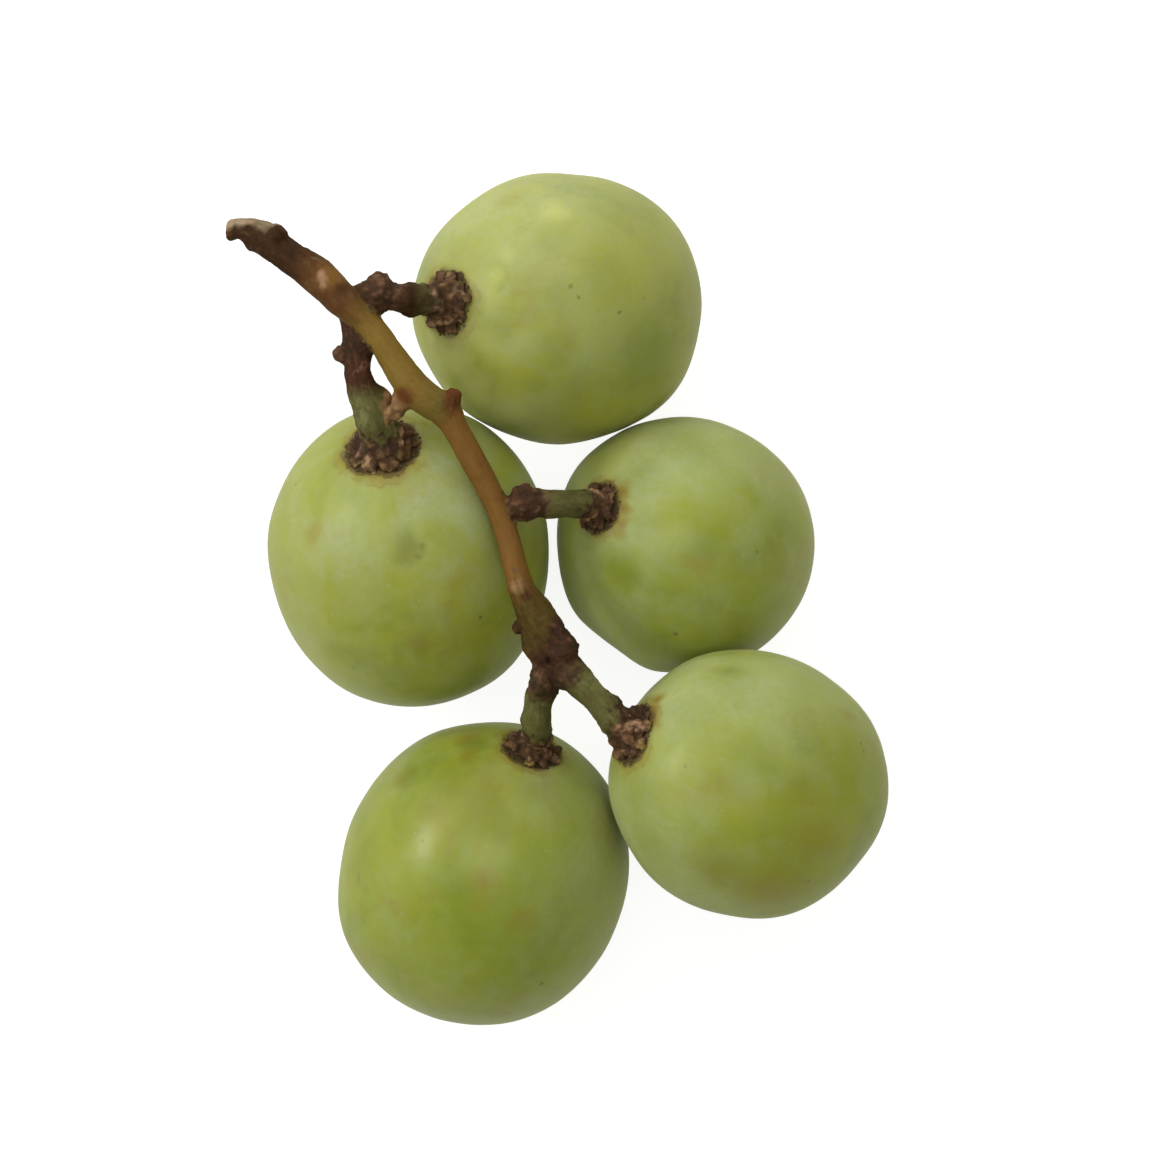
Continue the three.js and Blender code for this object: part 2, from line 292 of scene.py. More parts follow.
FLAP_SHAPES = ((0.7, 0.5, 0.3), (1.15, 0.95, 0.6))

# The sizes that the bark and the cork are built with.
STEM_VALUES = {
    "Ridge Height": 0.3, "Cobble Height": 0.5, "Cobble Size": 0.85, "Lump Spacing": 0.85,
    "Lump Radius": 0.44, "Unevenness": 0.12, "Flap Length": 0.33, "Seed": 5,
}

# Corky flaps lie in a ring round each stalk's foot, on the skin.
FLAP_PLACE = 0.92        # how far out, as a share of the cap's radius
FLAP_SPREAD = 0.05
FLAP_COUNT = 26
FLAP_STRAY = 0.3         # how far one strays towards the next, as a share of the gap
FLAP_SIZE = 0.6
FLAP_SHARES = (0.7, 1.2)
FLAP_DROP = 4.0          # the height that a flap's place is sought from
FLAP_SEED = 4

# ---- Camera, floor and lights ----

SENSOR_WIDTH = 36.0
EYE = (0.0, 0.0, 330.0)    # over the plan's origin
SIGHT_HEIGHT = 11.5        # the height at which the view is SIGHT_WIDTH across
SIGHT_WIDTH = 93.6
FLOOR_HALF = 1.5           # in metres, as the next
FLOOR_DROP = 0.00005       # how far the floor lies under the bunch
FLOOR_GLOW = 0.87          # how bright the floor looks, and how much of that falls on the fruit
FLOOR_BOUNCE = 0.29
ROOM_GLOW = 0.27
BOUNCE_COLOUR = (1.0, 1.0, 0.7, 1.0)
ROOM_COLOUR = (1.0, 1.0, 0.82, 1.0)
# Each light's name, heading and rise in degrees, distance, width and height in metres, and
# watts.
LIGHTS = [
    ("window", 164, 35, 0.32, 0.13, 0.055, 0.25),
    ("window_wall", 168, 38, 0.3, 0.3, 0.3, 0.15),
    ("ceiling", 100, 88, 0.35, 0.2, 0.2, 0.36),
    ("left_wall", 185, 20, 0.3, 0.2, 0.2, 0.06),
    ("top_window", 92, 8, 0.19, 0.06, 0.06, 0.065),
    ("upper_left_wall", 120, 40, 0.25, 0.15, 0.15, 0.1),
    ("upper_right_wall", 55, 35, 0.3, 0.2, 0.2, 0.12),
]

# Small marks on the skin, as seen from above at SIGHT_HEIGHT: (x, y, radius, strength).
MARKS = {
    "specks": [
        (2.8, 21.8, 0.24, 0.8), (-1.1, 23.9, 0.3, 0.5), (-0.6, 23.1, 0.2, 0.5),
        (4.7, 22.9, 0.22, 0.35), (4.9, 22.1, 0.18, 0.3), (8.55, 25.7, 0.25, 0.7),
        (1.0, 21.9, 0.2, 0.3), (2.4, 17.4, 0.2, 0.3), (-23.1, 8.1, 0.26, 0.6),
        (-8.4, -2.6, 0.22, 0.7), (-13.0, 3.1, 0.45, 0.35), (-13.4, 2.3, 0.4, 0.35),
        (13.8, 2.6, 0.22, 0.5), (7.3, -3.9, 0.27, 0.75), (22.1, -12.7, 0.25, 0.6),
        (22.3, -13.3, 0.2, 0.5), (17.9, -23.7, 0.28, 0.5), (-13.0, -20.4, 0.2, 0.6),
        (-3.5, -31.9, 0.27, 0.7), (6.6, 16.9, 0.2, 0.4), (19.6, 4.0, 0.2, 0.3),
    ],
    # Olive smudges on the skin; the broad ones are painted shade, darkening parts of the berries.
    "smudges": [
        (-14.8, 3.0, 2.2, 0.55), (-13.3, 2.6, 0.8, 0.4), (-14.0, -15.2, 2.0, 0.5),
        (-12.4, -14.4, 2.2, 0.35), (-9.0, -12.8, 2.2, 0.7), (-9.6, -14.4, 1.6, 0.5),
        (-18.1, -23.2, 0.9, 0.6), (-7.0, -19.6, 1.6, 0.4), (11.6, -7.0, 2.3, 0.6),
        (-4.6, -31.2, 1.2, 0.3), (12.7, -15.2, 3.6, 0.4), (9.0, 3.2, 2.4, 0.3), (5.5, 18.0, 6.5, 0.5),
        (-1.0, 16.0, 5.0, 0.25), (-9.8, -15.4, 4.6, 0.38), (-4.0, -17.0, 4.0, 0.25),
        (8.5, 11.2, 4.2, 0.32), (11.5, -8.0, 4.2, 0.32), (2.8, 1.8, 2.8, 0.45),
        (4.4, -17.2, 3.4, 0.32), (-18.0, -18.5, 3.6, 0.25), (-3.4, 22.2, 3.4, 0.3),
        (1.5, 25.5, 3.4, 0.2), (-18.0, -22.0, 3.6, 0.32), (-8.2, -17.4, 3.6, 0.4),
        (5.0, -19.8, 3.2, 0.28), (9.0, -10.5, 4.5, 0.25), (4.4, 8.8, 3.2, 0.4),
        (0.6, -0.4, 3.0, 0.25), (-2.6, 27.4, 2.4, 0.25), (-2.2, 18.2, 3.4, 0.35),
        (-7.0, 21.0, 2.4, 0.3), (-14.8, -31.4, 3.4, 0.3), (10.8, -22.8, 3.0, 0.25),
        (4.6, 5.4, 2.8, 0.25), (6.2, 14.6, 3.0, 0.35), (-9.2, 22.2, 2.0, 0.35),
    ],
    # Thicker bloom; its pale film is also painted light, lightening the berries' upper sides and the
    # skin where the stem's shadow falls on the upper-right berry.
    "blooms": [
        (-9.5, 28.0, 6.0, 0.6), (-6.8, 20.6, 3.0, 0.25), (-10.8, 18.6, 3.6, 0.8),
        (-7.4, 25.4, 5.0, 0.5), (-3.0, 30.0, 4.0, 0.4), (9.2, -1.2, 3.5, 0.5), (-19.5, 4.5, 5.0, 0.9),
        (-19.0, 8.0, 6.5, 0.8), (-12.0, 8.0, 5.5, 1.0), (-22.0, 9.0, 4.0, 0.5), (-8.6, 6.5, 3.0, 0.4),
        (4.4, 8.5, 5.0, 0.55), (10.0, 8.5, 4.5, 0.5), (14.0, 8.5, 4.0, 0.4), (4.6, 4.8, 3.0, 0.5),
        (13.5, 3.5, 3.5, 0.4), (8.0, -11.5, 5.5, 0.65), (13.0, -8.6, 4.5, 0.4),
        (5.6, -18.0, 4.5, 0.5), (-1.6, -16.0, 6.0, 0.7), (-0.8, -22.0, 5.0, 0.5),
        (-12.4, -17.0, 3.5, 0.4), (-10.0, -33.6, 2.6, 0.5),
    ],
    "rubs": [
        (-7.0, -3.5, 5.0, 0.9), (-4.4, 2.0, 4.0, 0.8), (-14.8, -8.5, 4.5, 0.5), (1.0, 13.5, 6.0, 0.9),
        (6.5, 19.0, 4.5, 0.5), (12.0, -3.8, 4.0, 0.65), (2.8, 1.2, 3.2, 0.8), (15.5, -24.0, 6.0, 0.9),
        (20.5, -18.0, 4.5, 0.7), (-12.0, -25.0, 5.5, 0.9), (-8.5, -28.5, 6.0, 0.7),
        (-10.5, -12.8, 3.0, 0.6), (1.8, -19.0, 2.4, 0.5), (-7.2, 24.4, 2.6, 0.5),
        (-2.4, 29.4, 2.4, 0.35), (-13.2, -21.4, 3.4, 0.9), (12.8, -15.2, 3.6, 0.6),
        (-12.2, 3.4, 3.0, 0.75), (-9.0, 0.5, 3.2, 0.8), (-18.0, -6.0, 4.0, 0.7),
        (8.0, 17.0, 5.0, 0.7), (-7.1, 23.5, 1.5, 0.8), (-3.2, 22.0, 3.6, 0.6), (1.5, 25.5, 4.0, 0.5),
        (10.8, -22.8, 4.0, 0.7), (-2.0, -31.0, 4.5, 0.7), (3.0, -26.0, 4.0, 0.5),
    ],
    "ambers": [
        (-9.5, -12.2, 1.5, 0.9), (-9.3, -13.8, 1.4, 0.85), (-9.2, -15.2, 1.1, 0.6),
        (-14.6, -15.6, 1.5, 0.5), (-8.2, -23.6, 1.7, 0.65), (14.8, -24.6, 4.5, 0.45),
        (18.6, -20.4, 3.4, 0.3), (11.8, -16.6, 3.0, 0.2), (-9.4, -17.5, 6.0, 0.25),
        (10.6, -22.8, 3.6, 0.35), (-8.4, -25.6, 1.3, 0.5), (-1.0, 20.0, 1.6, 0.3),
        (-6.0, 31.0, 2.0, 0.3), (9.3, 1.6, 1.7, 0.4), (21.0, -10.3, 1.4, 0.5), (-21.8, 4.2, 1.8, 0.5),
        (-13.0, -4.4, 2.0, 0.35), (-4.9, -27.0, 1.5, 0.4), (3.1, 7.6, 1.1, 0.9), (3.3, 6.4, 1.0, 0.9),
        (3.4, 5.2, 1.1, 0.9), (3.2, 4.2, 1.1, 0.8), (6.0, -8.8, 1.1, 0.8), (5.8, -9.8, 1.1, 0.9),
        (5.7, -11.2, 1.0, 0.9), (-14.6, 2.8, 1.8, 0.35),
    ],
    # Painted light: paler patches where the stem's shadow falls on the upper-right berry, and painted
    # highlights near its top.
    "pales": [
        (-10.6, 17.8, 3.6, 0.6), (-6.2, 14.4, 3.2, 0.45), (-9.0, 15.6, 3.0, 0.7),
        (-12.2, 20.2, 2.0, 0.4), (-8.5, 13.0, 1.8, 0.75), (-10.6, 15.4, 2.0, 0.6),
        (-2.4, 29.9, 1.7, 0.4), (-6.4, 26.4, 1.2, 0.25), (-6.9, 24.4, 1.2, 0.3),
    ],
    "stains": [
        (5.5, -10.2, 0.9, 0.75), (5.2, -11.2, 0.9, 0.9), (4.7, -12.2, 0.9, 0.9),
        (5.8, -9.2, 0.7, 0.5), (2.9, 7.4, 0.7, 0.5), (3.0, 6.2, 0.6, 0.5), (3.0, 4.8, 0.6, 0.4),
    ],
}

# The skin's patterns, in millimetres along a berry from its waist.
BLOOM_SPAN = (-9.0, 8.0)  # where the bloom is thinnest, and where it is full
SCAR_SPAN = (-6.0, -8.0)  # where the blossom end's marks begin, and where they are full
VEIN_STRETCH = 0.07       # draws the veins out along the berry
RING_PITCH = 26.0         # how close the rings round a stalk's foot are

# The random patterns. Each starts with how fine it is: in waves across half a berry for its
# swings, in cells a millimetre for the stem's relief, and in cells a metre in the materials.
PATTERNS = dict(
    # Noise: then its detail, roughness and distortion.
    slow_swing=(1.3, 1.0), fine_swing=(6.5, 3.0),
    ridges=(2.3, 4.0, 0.62), pits=(1.5, 3.0, 0.6), sway=(1.1, 2.0), uneven=(2.2, 1.0),
    veins=(4.0, 3.0, 0.6, 0.3), grain=(1500.0, 4.0, 0.75), skin_relief=(1500.0, 3.0, 0.6),
    wobble=(700.0, 3.0, 0.6), halo=(330.0, 2.0), streaks=(3.2, 4.0, 0.65, 0.4),
    grit=(2600.0, 3.0, 0.7), gloss=(900.0, 3.0, 0.6),
    # Clouds: then their contrast.
    ripe=(85.0, 1.0), olive=(130.0, 1.0), amber=(190.0, 1.0), bloom=(95.0, 0.7),
    wiped=(48.0, 1.2), patches=(420.0, 1.0), pink_bark=(800.0, 1.0), pink_cork=(560.0, 1.4),
    # Dots: then their radius, and the share of the cells that hold one.
    pores=(900.0, 0.16, 0.5), brown_pores=(230.0, 0.045, 0.3), bark_dots=(1300.0, 0.22, 0.3),
)
# How marks are shaken out of their round shape: cells a metre, and how far in metres.
SHAKES = dict(bloom=(190.0, 0.006), small=(1100.0, 0.0005), large=(320.0, 0.0026))

# ---- Colours, as they are painted: red, green and blue in hexadecimal ----

SKIN_GREEN = "8a972a"
SKIN_YELLOW = "a9ab34"
SKIN_OLIVE = "6d7c18"
SKIN_AMBER = "937f26"
SKIN_PAINTED_LIGHT = "ccd07c"
BLOOM = "b0b994"
SPECK_BROWN = "4c4a1f"
HALO_OCHRE = "8f7431"
STAIN_BROWN = "6f5722"
HALO_BROWN = "4e3a1c"
# Each tone's colour and how rough its bark is, from 0 to 1.
TONES = {
    # The next two are painted highlights on the stem's upper edge.
    "weathered": ("a08a70", 0.6),
    "grey_bark": ("88765e", 0.6),
    "old_bark": ("38200d", 0.7),
    "brown_wood": ("5a381a", 0.3),
    "umber_wood": ("4a2b12", 0.2),
    "rust_knot": ("6b3f1f", 0.2),
    "ochre_wood": ("7e642a", 0.08),
    "olive_wood": ("6e5e2a", 0.12),
    "rust_wood": ("785425", 0.1),
    "rust_bark": ("62381c", 0.5),
    "scar_wood": ("9c7852", 0.6),
    "olive_bark": ("4e3d14", 0.6),
    "plum_bark": ("44281b", 0.9),
    "knot_bark": ("6d4d3a", 0.9),
    "green_neck": ("605e34", 0.45),
    # A scar's tone, lightened as a painted highlight.
    "pale_scar": ("a07c60", 0.2),
    "cork": ("6a4d33", 1.0),
}
STREAK_SHADE = "7a6a5c"
STREAK_PALE = "a88e60"
PATCH_SHADE = "857058"
CORK_PALE = "b48d70"
CORK_PLUM = "4a352b"
CORK_DARK = "34241a"
CORK_GREEN = "5f6136"
FLAP_OCHRE = "8f7a42"
NECK_PALE = "8d8f62"
BARK_PINK = "80574a"
WOOD_PALE = "a08762"
WOOD_RING = "8c6a42"
FLOOR_GREY = "959593"


def paint(code):
    """A painted colour as the linear values that Blender's sockets take."""
    shares = [int(code[i:i + 2], 16) / 255 for i in (0, 2, 4)]
    linear = [s / 12.92 if s <= 0.04045 else ((s + 0.055) / 1.055) ** 2.4 for s in shares]
    return (*linear, 1.0)


# ---- Node trees in short calls ----

FLOAT, WHOLE, VECTOR, GEOMETRY = (
    "NodeSocket" + kind for kind in ("Float", "Int", "Vector", "Geometry")
)
WHITE = (1.0, 1.0, 1.0, 1.0)


class Value:
    """A node's output. Sums written with it become nodes of the same tree."""

    def __init__(self, socket):
        self.socket = socket
        self.tree = socket.id_data

    def __add__(self, other):
        return calc("ADD", self, other)

    def __sub__(self, other):
        return calc("SUBTRACT", self, other)

    def __rsub__(self, other):
        return calc("SUBTRACT", other, self)

    def __mul__(self, other):
        return calc("MULTIPLY", self, other)

    def __truediv__(self, other):
        return calc("DIVIDE", self, other)

    def __rtruediv__(self, other):
        return calc("DIVIDE", other, self)

    def scaled(self, factor, extra, clamp=False):
        """The value times a factor, plus an extra."""
        return calc("MULTIPLY_ADD", self, factor, extra, clamp=clamp)

    def fade(self, zero, one, top=1.0):
        """0 where the value is zero, rising smoothly to top where it is one."""
        return put(
            self.tree, "ShaderNodeMapRange",
            {"Value": self, "From Min": zero, "From Max": one, "To Min": 0.0, "To Max": top},
            interpolation_type="SMOOTHSTEP",
        )["Result"]

    def parts(self):
        """A vector's three numbers."""
        made = put(self.tree, "ShaderNodeSeparateXYZ", {0: self})
        return made[0], made[1], made[2]


class Outputs:
    """A node's outputs, each as a value."""

    def __init__(self, node):
        self.node = node

    def __getitem__(self, key):
        return Value(self.node.outputs[key])


def fill(node, inputs):
    """Gives each of a node's inputs its number, or its link where it is a value."""
    for key, given in inputs.items():
        if isinstance(given, Value):
            node.id_data.links.new(given.socket, node.inputs[key])
        else:
            node.inputs[key].default_value = given


def put(tree, kind, inputs=None, **settings):
    """Adds a node, applies its settings and fills its inputs."""
    made = tree.nodes.new(kind)
    for name, setting in settings.items():
        setattr(made, name, setting)
    fill(made, inputs or {})
    return Outputs(made)


def tree_of(*given):
    """The tree that the values among these belong to."""
    return next(one.tree for one in given if isinstance(one, Value))


def calc(operation, *given, clamp=False):
    return put(tree_of(*given), "ShaderNodeMath", dict(enumerate(given)),
               operation=operation, use_clamp=clamp)[0]


def vector(operation, *given):
    """A vector sum. The second value of SCALE is a number, and lengths come out as one."""
    keys = (0, 3) if operation == "SCALE" else (0, 1, 2)
    single = operation in ("LENGTH", "DOT_PRODUCT", "DISTANCE")
    made = put(tree_of(*given), "ShaderNodeVectorMath", dict(zip(keys, given)), operation=operation)
    return made["Value" if single else "Vector"]


def joined(x, y, z=0.0):
    return put(x.tree, "ShaderNodeCombineXYZ", {0: x, 1: y, 2: z})[0]


def noise(place, scale, detail=2.0, roughness=0.5, distortion=0.0, output="Fac"):
    return put(place.tree, "ShaderNodeTexNoise",
               {"Vector": place, "Scale": scale, "Detail": detail, "Roughness": roughness,
                "Distortion": distortion})[output]


def mixed(share, first, second, blend="MIX"):
    """Two colours mixed: the first where share is 0, the second where it is 1."""
    first, second = (paint(one) if isinstance(one, str) else one for one in (first, second))
    return put(tree_of(share, first), "ShaderNodeMix", {0: share, 6: first, 7: second},
               data_type="RGBA", blend_type=blend, clamp_factor=True)[2]


def painted(colour, layers):
    """A colour with others laid over it in turn, each where its mask is 1."""
    for mask, tone in layers:
        colour = mixed(mask, colour, tone)
    return colour


def new_tree(name, kind, inputs, output, socket):
    """An empty node tree with named inputs, each with its value or its kind of socket, and
    one output. Returns it, what it is given, and the call that takes its result."""
    tree = bpy.data.node_groups.new(name, kind)
    for label, given in inputs.items():
        valued = {float: FLOAT, int: WHOLE, tuple: VECTOR}.get(type(given))
        made = tree.interface.new_socket(label, in_out="INPUT", socket_type=valued or given)
        if valued:
            made.default_value = given
    tree.interface.new_socket(output, in_out="OUTPUT", socket_type=socket)
    given, result = tree.nodes.new("NodeGroupInput"), tree.nodes.new("NodeGroupOutput")
    return tree, Outputs(given), lambda made: fill(result, {output: made})


def effect(group, **inputs):
    """Places a node group beside what it is given, and returns what it makes."""
    return put(tree_of(*inputs.values()), group.bl_idname.replace("Tree", "Group"), inputs,
               node_tree=group)[0]


def stored(geometry, name, given, kind="FLOAT", domain="POINT"):
    return put(geometry.tree, "GeometryNodeStoreNamedAttribute",
               {"Geometry": geometry, "Name": name, "Value": given},
               data_type=kind, domain=domain)["Geometry"]


def attribute(tree, name, kind="FLOAT"):
    """A named attribute of the mesh, in a geometry tree."""
    return put(tree, "GeometryNodeInputNamedAttribute", {"Name": name}, data_type=kind)["Attribute"]


def moved(geometry, **inputs):
    """The geometry with its points put at a Position or shifted by an Offset."""
    return put(geometry.tree, "GeometryNodeSetPosition", {"Geometry": geometry, **inputs})["Geometry"]


def dressed(geometry, material):
    """The geometry as one smooth plain mesh in a material."""
    for kind, inputs in (("RealizeInstances", {}), ("SetShadeSmooth", {}),
                         ("SetMaterial", {"Material": material})):
        geometry = put(geometry.tree, "GeometryNode" + kind,
                       {"Geometry": geometry, **inputs})["Geometry"]
    return geometry


def grown(name, tree, values, start=None):
    """The plain mesh that a geometry tree makes from these values, as a new object."""
    base = bpy.data.objects.new(name + "_start", start or bpy.data.meshes.new(name + "_start"))
    bpy.context.scene.collection.objects.link(base)
    modifier = base.modifiers.new("form", "NODES")
    modifier.node_group = tree
    for item in tree.interface.items_tree:
        if item.in_out == "INPUT" and item.name in values:
            modifier[item.identifier] = values[item.name]
    depsgraph = bpy.context.evaluated_depsgraph_get()
    mesh = bpy.data.meshes.new_from_object(
        base.evaluated_get(depsgraph), preserve_all_data_layers=True, depsgraph=depsgraph
    )
    base.modifiers.remove(modifier)
    bpy.data.objects.remove(base)
    mesh.name = name
    piece = bpy.data.objects.new(name, mesh)
    bpy.context.scene.collection.objects.link(piece)
    return piece


# ---- The berries' places ----

def way(heading, rise):
    """The unit vector towards a heading and a rise in degrees."""
    turn, climb = math.radians(heading), math.radians(rise)
    level = math.cos(climb)
    return Vector((level * math.cos(turn), level * math.sin(turn), math.sin(climb)))


def reach_towards(berry, direction):
    """How far a berry's skin lies from its centre in a direction, in millimetres."""
    along = direction.dot(way(berry["heading"], berry["rise"])) ** 2
    length, width = berry["half_length"] + PLUMP, berry["half_width"] + PLUMP
    return 1 / math.sqrt(along / length ** 2 + (1 - along) / width ** 2)


def centre_of(name):
    """A berry's centre in the frame, in millimetres, read off its solid's box."""
    berry = BERRIES[name]
    low, high = (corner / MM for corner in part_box(name))
    climb = math.radians(berry["rise"])
    half_height = math.hypot(
        berry["half_length"] * math.sin(climb), berry["half_width"] * math.cos(climb)
    )
    return Vector(((low.x + high.x) / 2, (low.y + high.y) / 2, high.z - half_height))


def touch_of(name, other):
    """The point and the way of the face that two pressed berries share, in millimetres."""
    here, there = centre_of(name), centre_of(other)
    across = (there - here).normalized()
    own = reach_towards(BERRIES[name], across)
    others = reach_towards(BERRIES[other], -across)
    apart = (there - here).length - own - others
    return here + across * (own + apart / 2 - TOUCH_GAP), across


plan_shift = centre_of(LEFT) - Vector((*LEFT_MIDDLE, centre_of(LEFT).z))
eye = Vector(EYE) + plan_shift


# ---- The berries' form ----

def pressed_group():
    """A point held back at a plane: what lies past it along Way is laid onto it."""
    tree, given, result = new_tree(
        "pressed_flat", "GeometryNodeTree", {"Place": VECTOR, "Point": VECTOR, "Way": VECTOR},
        "Place", VECTOR,
    )
    past = vector("DOT_PRODUCT", vector("SUBTRACT", given["Place"], given["Point"]), given["Way"])
    back = vector("SCALE", given["Way"], calc("MAXIMUM", past, 0.0))
    result(vector("SUBTRACT", given["Place"], back))
    return tree


def swollen_group():
    """A soft bulge of a rounded body towards Way, or a dent where Height is negative."""
    tree, given, result = new_tree(
        "soft_swell", "GeometryNodeTree",
        {"Place": VECTOR, "Way": VECTOR, "Height": 0.0, "Spread": 0.2}, "Place", VECTOR,
    )
    outward = vector("NORMALIZE", given["Place"])
    off = 1.0 - vector("DOT_PRODUCT", outward, given["Way"])
    share = calc("EXPONENT", off * -1.0 / given["Spread"])
    rise = vector("SCALE", outward, share * given["Height"])
    result(vector("ADD", given["Place"], rise))
    return tree


def bell(reach, width, height):
    """A smooth rise of a height in the middle that fades over a width."""
    share = reach / width
    return calc("EXPONENT", share * share * -1.0) * height


def berry_values(name):
    """The tree's inputs for one berry."""
    berry = BERRIES[name]
    values = {
        "Half Length": berry["half_length"] + PLUMP,
        "Half Width": berry["half_width"] + PLUMP,
        "Hollow Depth": HOLLOW_DEPTH,
        "Hollow Reach": HOLLOW_REACH,
        "Cap Radius": berry["cap_radius"],
        "Ripeness": berry["ripeness"],
        "Bloom": berry["bloom"],
        "Seed": berry["seed"],
        "Centre": tuple(centre_of(name)),
        "Stalk Way": tuple(way(berry["heading"], berry["rise"])),
    }
    for number, (heading, height, spread) in zip(SWELLS, berry["swells"]):
        values[f"Swell {number} Way"] = tuple(way(heading, SWELL_RISE))
        values[f"Swell {number} Height"] = float(height)
        values[f"Swell {number} Spread"] = float(spread)
    touches = [touch_of(name, other) for other in berry["touches"]]
    for number, (point, side) in zip(TOUCHES, touches + [(FAR_BELOW, DOWN)] * len(TOUCHES)):
        values[f"Touch {number} Point"] = tuple(point)
        values[f"Touch {number} Way"] = tuple(side)
    return values


def berry_tree(material):
    """A berry in millimetres, grown round its stalk's axis and pressed where it touches."""
    tree, size, result = new_tree(
        "grape_berry", "GeometryNodeTree", berry_values(LEFT), "Geometry", GEOMETRY
    )
    ball = put(tree, "GeometryNodeMeshIcoSphere", {"Radius": 1.0, "Subdivisions": BERRY_LEVEL})
    unit = put(tree, "GeometryNodeInputPosition")["Position"]
    x, y, up = unit.parts()
    x, y = x * size["Half Width"], y * size["Half Width"]
    reach = calc("SQRT", x * x + y * y)

    hollow = bell(reach, size["Hollow Reach"], size["Hollow Depth"])
    collar = bell(reach - size["Cap Radius"] * COLLAR_PLACE, COLLAR_WIDTH, COLLAR_HEIGHT)
    stalk_end = up.fade(0.0, END_FADE) * (collar - hollow)
    dent, nub = bell(reach, DENT_WIDTH, DENT_DEPTH), bell(reach, NUB_WIDTH, NUB_HEIGHT)
    blossom_end = up.fade(0.0, -END_FADE) * (dent - nub)
    own = joined(x, y, up * size["Half Length"] + stalk_end + blossom_end)

    wander = vector("ADD", unit, joined(size["Seed"], size["Seed"]))
    slow = noise(wander, *PATTERNS["slow_swing"]) - 0.5
    fine = noise(wander, *PATTERNS["fine_swing"]) - 0.5
    swing = slow * SLOW_SWING + fine * FINE_SWING
    grown_out = vector("ADD", own, vector("SCALE", unit, swing))

    turn = put(tree, "FunctionNodeAlignRotationToVector", {"Vector": size["Stalk Way"]}, axis="Z")
    turned = put(tree, "FunctionNodeRotateVector",
                 {"Vector": grown_out, "Rotation": turn["Rotation"]})["Vector"]
    swell, press = swollen_group(), pressed_group()
    for number in SWELLS:
        own_swell = {part: size[f"Swell {number} {part}"] for part in ("Way", "Height", "Spread")}
        turned = effect(swell, Place=turned, **own_swell)
    standing = vector("ADD", turned, size["Centre"])
    for number in TOUCHES:
        own_touch = {part: size[f"Touch {number} {part}"] for part in ("Point", "Way")}
        standing = effect(press, Place=standing, **own_touch)
    standing = effect(press, Place=standing, Way=DOWN)

    far = (1.0 - up.fade(0.0, CAP_SIDE)) * FAR
    skin = stored(ball["Mesh"], "own_place", own, "FLOAT_VECTOR")
    skin = stored(skin, "cap_share", reach / size["Cap Radius"] + far)
    for look in ("Ripeness", "Bloom"):
        skin = stored(skin, look.lower(), size[look])
    result(dressed(moved(skin, Position=vector("SCALE", standing, MM)), material))
    return tree


# ---- Shader effects that the skin and the bark share ----

def mottle_group():
    """Cloudy patches at two sizes, from 0 to 1."""
    tree, given, result = new_tree(
        "mottle", "ShaderNodeTree", {"Place": VECTOR, "Scale": 100.0, "Contrast": 1.0},
        "Mask", FLOAT,
    )
    broad = noise(given["Place"], given["Scale"], 3.0, 0.55, 0.6)
    small = noise(given["Place"], given["Scale"] * 4.3, 4.0, 0.6, 0.3)
    centred = (broad * 0.72 + small * 0.28 - 0.5) * given["Contrast"]
    result(centred.scaled(2.4, 0.5, clamp=True))
    return tree


def speckle_group():
    """Small round dots, in only some of the cells that they could sit in."""
    tree, given, result = new_tree(
        "speckle", "ShaderNodeTree",
        {"Place": VECTOR, "Scale": 400.0, "Radius": 0.1, "Share": 0.3}, "Mask", FLOAT,
    )
    cells = put(tree, "ShaderNodeTexVoronoi", {"Vector": given["Place"], "Scale": given["Scale"]})
    dot = cells["Distance"].fade(given["Radius"], given["Radius"] * 0.35)
    draw = put(tree, "ShaderNodeSeparateColor", {0: cells["Color"]})[0]
    result(dot * calc("LESS_THAN", draw, given["Share"]))
    return tree


def spot_group():
    """One soft round mark at a point: Strength in the middle, 0 from Radius out."""
    tree, given, result = new_tree(
        "spot", "ShaderNodeTree",
        {"Place": VECTOR, "Point": VECTOR, "Radius": 0.001, "Strength": 1.0}, "Mask", FLOAT,
    )
    away = vector("DISTANCE", given["Place"], given["Point"])
    result(away.fade(given["Radius"], 0.0, given["Strength"]))
    return tree


MOTTLE, SPECKLE, SPOT = mottle_group(), speckle_group(), spot_group()


def new_material(name):
    material = bpy.data.materials.new(name)
    material.use_nodes = True
    tree = material.node_tree
    return material, tree, tree.nodes["Principled BSDF"]


def surface(tree, name, output="Fac"):
    """A named attribute of the mesh, in a material."""
    return put(tree, "ShaderNodeAttribute", attribute_name=name)[output]


def object_place(tree):
    return put(tree, "ShaderNodeTexCoord")["Object"]


def bumped(tree, strength, distance, height):
    """The surface's normal with a fine relief on it."""
    return put(tree, "ShaderNodeBump",
               {"Strength": strength, "Distance": distance, "Height": height})["Normal"]


def clouds(place, scale, contrast):
    return effect(MOTTLE, Place=place, Scale=scale, Contrast=contrast)


def dots(place, scale, radius, share):
    return effect(SPECKLE, Place=place, Scale=scale, Radius=radius, Share=share)


def spots(place, marks):
    """Marks at points of the surface, joined in one mask."""
    mask = None
    for point, radius, strength in marks:
        one = effect(SPOT, Place=place, Point=tuple(point), Radius=radius, Strength=strength)
        mask = one if mask is None else calc("MAXIMUM", mask, one)
    return mask


def centred_colour(place, scale, detail):
    """A smooth random vector at each place, about zero."""
    cloud = noise(place, scale, detail, output="Color")
    return vector("SUBTRACT", cloud, (0.5, 0.5, 0.5))


def shaken(place, scale, push):
    """The place moved about by up to push, so that marks laid on it lose their round edge."""
    return vector("ADD", place, vector("SCALE", centred_colour(place, scale, 3.0), push))


# ---- Grape skin ----

